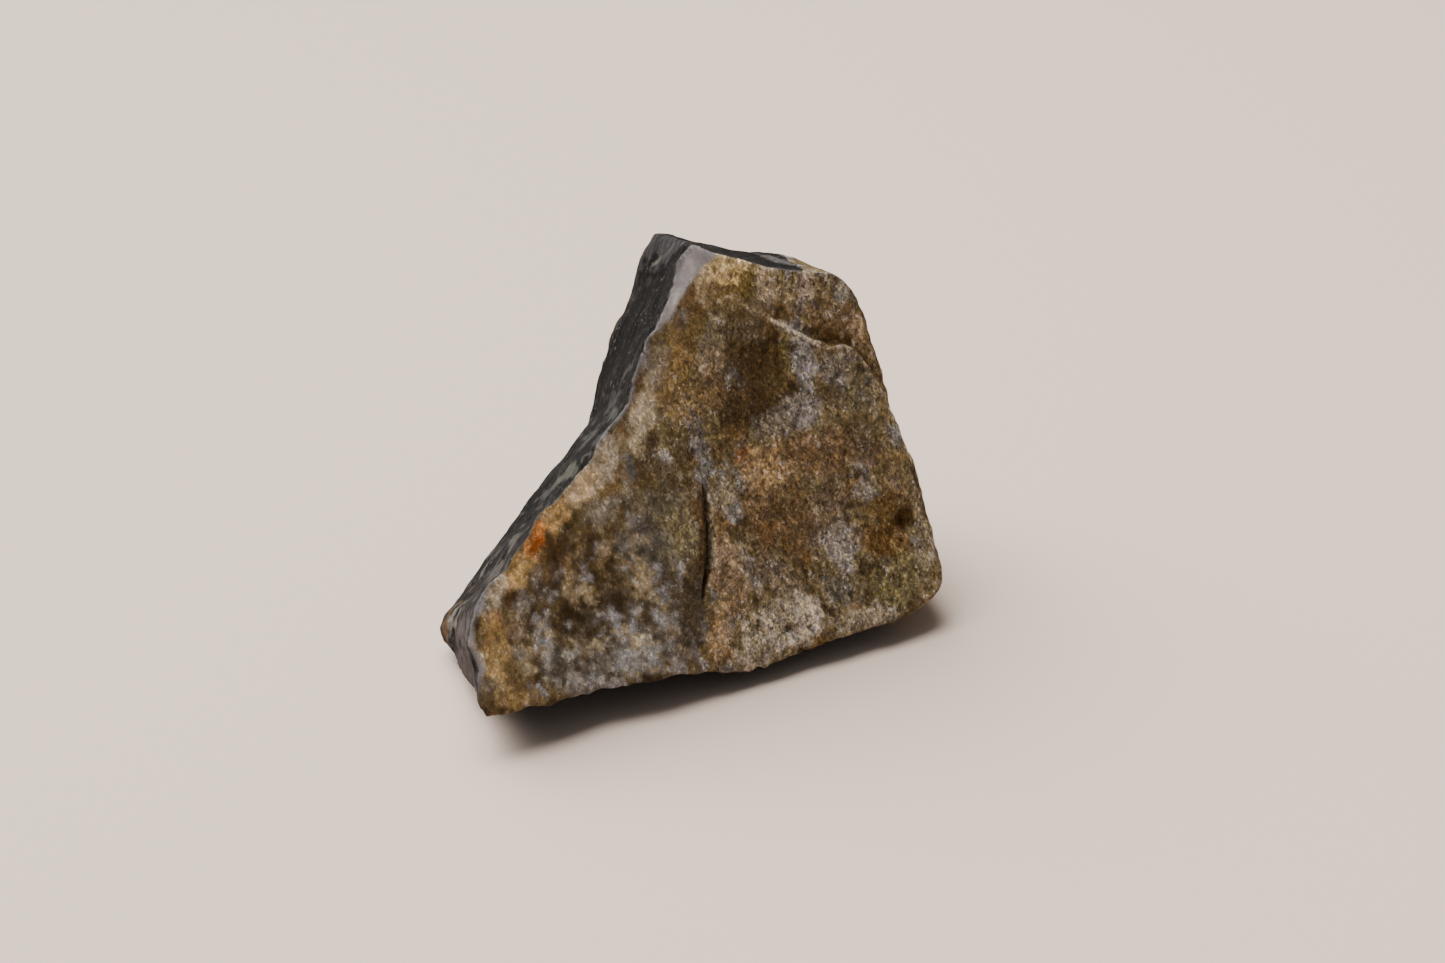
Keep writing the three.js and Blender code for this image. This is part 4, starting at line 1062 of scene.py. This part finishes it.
class Graph:
    """Makes shader nodes with few words."""

    def __init__(self, name):
        self.material = bpy.data.materials.new(name)
        self.material.use_nodes = True
        self.tree = self.material.node_tree
        self.tree.nodes.clear()

    def put(self, value, socket):
        """Links a socket to another, or gives it a plain value."""
        if isinstance(value, bpy.types.NodeSocket):
            self.tree.links.new(value, socket)
        else:
            socket.default_value = value

    def add(self, kind, inputs, **settings):
        made = self.tree.nodes.new(kind)
        for key, value in settings.items():
            setattr(made, key, value)
        for key, value in inputs.items():
            self.put(value, made.inputs[key])
        return made

    def math(self, operation, a, b):
        return self.add("ShaderNodeMath", {0: a, 1: b}, operation=operation).outputs[0]

    def times(self, a, b):
        return self.math("MULTIPLY", a, b)

    def vector(self, operation, a, b):
        return self.add("ShaderNodeVectorMath", {0: a, 1: b}, operation=operation).outputs[0]

    def step(self, value, low, high, start=0.0, end=1.0, kind="SMOOTHSTEP"):
        """A value that runs from start to end as the one given runs from low to high."""
        inputs = {
            "Value": value, "From Min": low, "From Max": high, "To Min": start, "To Max": end,
        }
        return self.add("ShaderNodeMapRange", inputs, interpolation_type=kind).outputs[0]

    def begins(self, name, value):
        return self.step(value, *STARTS[name])

    def shade(self, name, value):
        return self.step(value, *SHADES[name], "LINEAR")

    def choose(self, share, a, b):
        """A plain value between two others."""
        return self.step(share, 0.0, 1.0, a, b, "LINEAR")

    def mix(self, share, a, b, blend="MIX"):
        made = self.add("ShaderNodeMix", {}, data_type="RGBA", blend_type=blend)
        self.put(share, made.inputs[0])
        self.put(a, made.inputs[6])
        self.put(b, made.inputs[7])
        return made.outputs[2]

    def cover(self, name, share, under, colour):
        """A plain colour over another, with the strength of its name."""
        return self.mix(self.times(share, STRENGTH[name]), under, rgba(colour))

    def noise(self, name, vector):
        scale, detail, rough, distortion, shift = (*NOISES[name], 0.0, None)[:5]
        if shift:
            vector = self.vector("ADD", vector, shift)
        inputs = {
            "Vector": vector, "Scale": scale, "Detail": detail, "Roughness": rough,
            "Distortion": distortion,
        }
        return self.add("ShaderNodeTexNoise", inputs).outputs["Fac"]

    def grains(self, vector, scale):
        """Two random values for each of the small ragged grains that fill the space."""
        inputs = {"Vector": vector, "Scale": GRAIN_WARP_SCALE, "Detail": 2.0}
        warp = self.add("ShaderNodeTexNoise", inputs).outputs["Color"]
        warp = self.vector("MULTIPLY", warp, GRAIN_WARP)
        inputs = {"Vector": self.vector("ADD", vector, warp), "Scale": scale}
        cells = self.add("ShaderNodeTexVoronoi", inputs)
        split = self.add("ShaderNodeSeparateColor", {"Color": cells.outputs["Color"]})
        return split.outputs[0], split.outputs[1]

    def attribute(self, name, output="Fac"):
        return self.add("ShaderNodeAttribute", {}, attribute_name=name).outputs[output]

    def surface(self, inputs):
        principled = self.add("ShaderNodeBsdfPrincipled", inputs)
        output = self.add("ShaderNodeOutputMaterial", {})
        self.tree.links.new(principled.outputs[0], output.inputs[0])


def rgba(colour):
    return (*(float(c) for c in colour), 1.0)


def rind_nodes(g, place, upright, grit, grained):
    """The rind: a mottle and a grit in light and dark, then grains with a tone of their own. Some
    grains are dark pores and some are white, mostly where the rind is pale and sugary."""
    rind = g.attribute("rind", "Color")
    sugary = g.attribute("sugary")
    shade = g.times(g.shade("mottle", g.noise("mottle", upright)), g.shade("grit", grit))
    tint = g.mix(g.begins("tint", g.noise("tint", place)), YELLOWISH, BLUISH)
    coarse = g.grains(upright, COARSE_GRAINS)
    fine = g.grains(g.vector("ADD", upright, FINE_SHIFT), FINE_GRAINS)
    shade = g.times(shade, g.shade("coarse", coarse[0]))
    shade = g.times(shade, g.shade("fine", fine[0]))
    grainy = g.mix(1.0, g.mix(1.0, rind, shade, "MULTIPLY"), tint, "MULTIPLY")
    patchy = g.mix(1.0, grainy, g.shade("patchy", g.noise("patchy", upright)), "MULTIPLY")
    grainy = g.mix(g.times(sugary, STRENGTH["patchy"]), grainy, patchy)
    speck = g.begins("speck", g.math("ADD", fine[1], g.times(coarse[1], COARSE_SPECKS)))
    grainy = g.mix(1.0, grainy, g.shade("speck", speck), "MULTIPLY")
    cluster = g.noise("cluster", upright)
    pore = g.times(g.begins("pore", fine[1]), g.begins("pores", cluster))
    grainy = g.cover("pores", pore, grainy, PORE)
    light = g.math("MAXIMUM", g.begins("coarse light", coarse[1]), g.begins("fine light", fine[1]))
    light = g.times(light, g.times(sugary, g.begins("lights", cluster)))
    grainy = g.cover("lights", light, grainy, LIGHT_GRAIN)
    return g.mix(grained, rind, grainy), light, fine[0]


def inside_nodes(g, place, crisp):
    """The inside: long fine streaks and thin lines that run with the ribs, and small pale flecks."""
    ribs = g.attribute("ribs", "Vector")
    streak = g.noise("streak", ribs)
    inside = g.attribute("inside", "Color")
    inside = g.mix(g.begins("streaks", crisp), inside, g.shade("streak", streak), "MULTIPLY")
    fleck = g.noise("fleck", place)
    flecked = g.begins("flecked", g.noise("flecked", place))
    flecked = g.times(g.begins("fleck", fleck), g.math("ADD", flecked, FLECKS_ALL_OVER))
    inside = g.cover("flecks", flecked, inside, FLECK)
    line = g.math("ABSOLUTE", g.math("SUBTRACT", g.noise("line", ribs), 0.5), 0.0)
    line = g.times(g.begins("line", line), g.begins("broken", fleck))
    return g.cover("lines", line, inside, THIN_LINE), streak


def stone_material():
    g = Graph("agate_stone")
    place = g.attribute("place", "Vector")
    clear = g.attribute("clear")
    crisp = g.attribute("crisp")
    rough = g.math("SUBTRACT", 1.0, g.times(clear, CLEAR_SMOOTH))
    upright = g.vector("MULTIPLY", place, UPRIGHT)
    grit = g.noise("grit", upright)
    rind, light, grain = rind_nodes(g, place, upright, grit, g.times(rough, crisp))
    inside, streak = inside_nodes(g, place, crisp)
    border = g.times(g.math("SUBTRACT", grit, 0.5), BORDER_RAG)
    is_inside = g.begins("inside", g.math("ADD", g.attribute("side"), border))
    rind_rough = g.math("SUBTRACT", ROUGH, g.times(light, LIGHT_SHINE))
    rind_rough = g.math("SUBTRACT", rind_rough, g.times(clear, CLEAR_SHINE))
    grit_height = g.times(g.math("ADD", grit, g.times(grain, GRAIN_HEIGHT)), rough)
    height = g.choose(is_inside, grit_height, g.times(streak, STREAK_HEIGHT))
    inputs = {"Strength": 1.0, "Distance": BUMP_DISTANCE, "Height": height}
    g.surface({
        "Base Color": g.mix(is_inside, rind, inside),
        "Roughness": g.choose(is_inside, rind_rough, ROUGH_INSIDE),
        "Normal": g.add("ShaderNodeBump", inputs).outputs[0],
        "Specular IOR Level": GLOSS,
    })
    return g.material


def plain_material(name, colour, roughness):
    g = Graph(name)
    g.surface({"Base Color": rgba(colour), "Roughness": roughness, "Specular IOR Level": FLOOR_GLOSS})
    return g.material


# ---- Pieces


KINDS = {1: ("FLOAT", "value"), 3: ("FLOAT_VECTOR", "vector"), 4: ("FLOAT_COLOR", "color")}


def give_attribute(mesh, name, values):
    """Stores a value, vector or colour for each vertex, by how many numbers each has."""
    kind, key = KINDS[values.size // len(values)]
    attribute = mesh.attributes.new(name, kind, "POINT")
    attribute.data.foreach_set(key, values.ravel())


def make_stone():
    vertices, quads = drop_small_bits(*stone_net())
    mesh = bpy.data.meshes.new("agate_stone")
    low, high = np.array(CAD_BOX) / MM
    mesh.from_pydata(np.clip(vertices - MIDDLE, low, high) * MM, [], quads.tolist())
    mesh.validate()
    told = stone_colours(vertices)
    told["place"] = np.stack(on_face(vertices), 1)
    told["ribs"] = along_ribs(*on_face(vertices))
    for name, values in told.items():
        give_attribute(mesh, name, values)
    mesh.shade_smooth()
    mesh.materials.append(stone_material())
    piece = bpy.data.objects.new("agate_stone", mesh)
    bpy.context.collection.objects.link(piece)
    return piece


stone = make_stone()
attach(stone, "root")
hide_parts("rough_agate")

# ---- Floor, light and camera

FLOOR_HALF = 3.0  # metres
FLOOR_COLOUR = (0.72, 0.585, 0.50)
FLOOR_ROUGH = 0.9
LAMP_PLACE = (-0.42, 0.33, 0.82)  # metres
LAMP_AIM = (0.0, -0.10, 0.0)
LAMP_SIZE = 1.25
LAMP_WATTS = 14.0
LAMP_SPREAD = math.radians(90)
LAMP_COLOUR = (1.0, 0.98, 0.95)
SKY_COLOUR = (0.93, 0.92, 0.91, 1.0)
SKY_STRENGTH = 0.19
CAMERA_OFF = (-4.128, -396.536, 224.323)  # from the face's origin
CAMERA_DOWN = math.radians(27.4)
CAMERA_LENS = 105
CAMERA_SENSOR = 36

floor_mesh = bpy.data.meshes.new("floor")
corners = [(-1, -1), (1, -1), (1, 1), (-1, 1)]
floor_mesh.from_pydata([(FLOOR_HALF * x, FLOOR_HALF * y, 0) for x, y in corners], [], [(0, 1, 2, 3)])
floor_mesh.materials.append(plain_material("pale_floor", FLOOR_COLOUR, FLOOR_ROUGH))
floor = bpy.data.objects.new("floor", floor_mesh)
bpy.context.collection.objects.link(floor)


def make_lamp():
    """A square studio light."""
    lamp = bpy.data.lights.new("light_over", "AREA")
    lamp.shape = "SQUARE"
    lamp.size = LAMP_SIZE
    lamp.energy = LAMP_WATTS
    lamp.spread = LAMP_SPREAD
    lamp.color = LAMP_COLOUR
    made = bpy.data.objects.new("light_over", lamp)
    made.location = LAMP_PLACE
    x, y, z = np.subtract(LAMP_AIM, LAMP_PLACE)
    made.rotation_euler = (math.atan2(math.hypot(x, y), -z), 0, math.atan2(-x, y))
    bpy.context.collection.objects.link(made)


make_lamp()

world = bpy.data.worlds.new("studio")
bpy.context.scene.world = world
world.use_nodes = True
backdrop = world.node_tree.nodes["Background"]
backdrop.inputs["Color"].default_value = SKY_COLOUR
backdrop.inputs["Strength"].default_value = SKY_STRENGTH

camera_data = bpy.data.cameras.new("camera")
camera_data.lens = CAMERA_LENS
camera_data.sensor_width = CAMERA_SENSOR
camera = bpy.data.objects.new("camera", camera_data)
camera.location = (FACE_ORIGIN + CAMERA_OFF - MIDDLE) * MM
camera.rotation_euler = (math.pi / 2 - CAMERA_DOWN, 0, 0)
bpy.context.collection.objects.link(camera)
bpy.context.scene.camera = camera
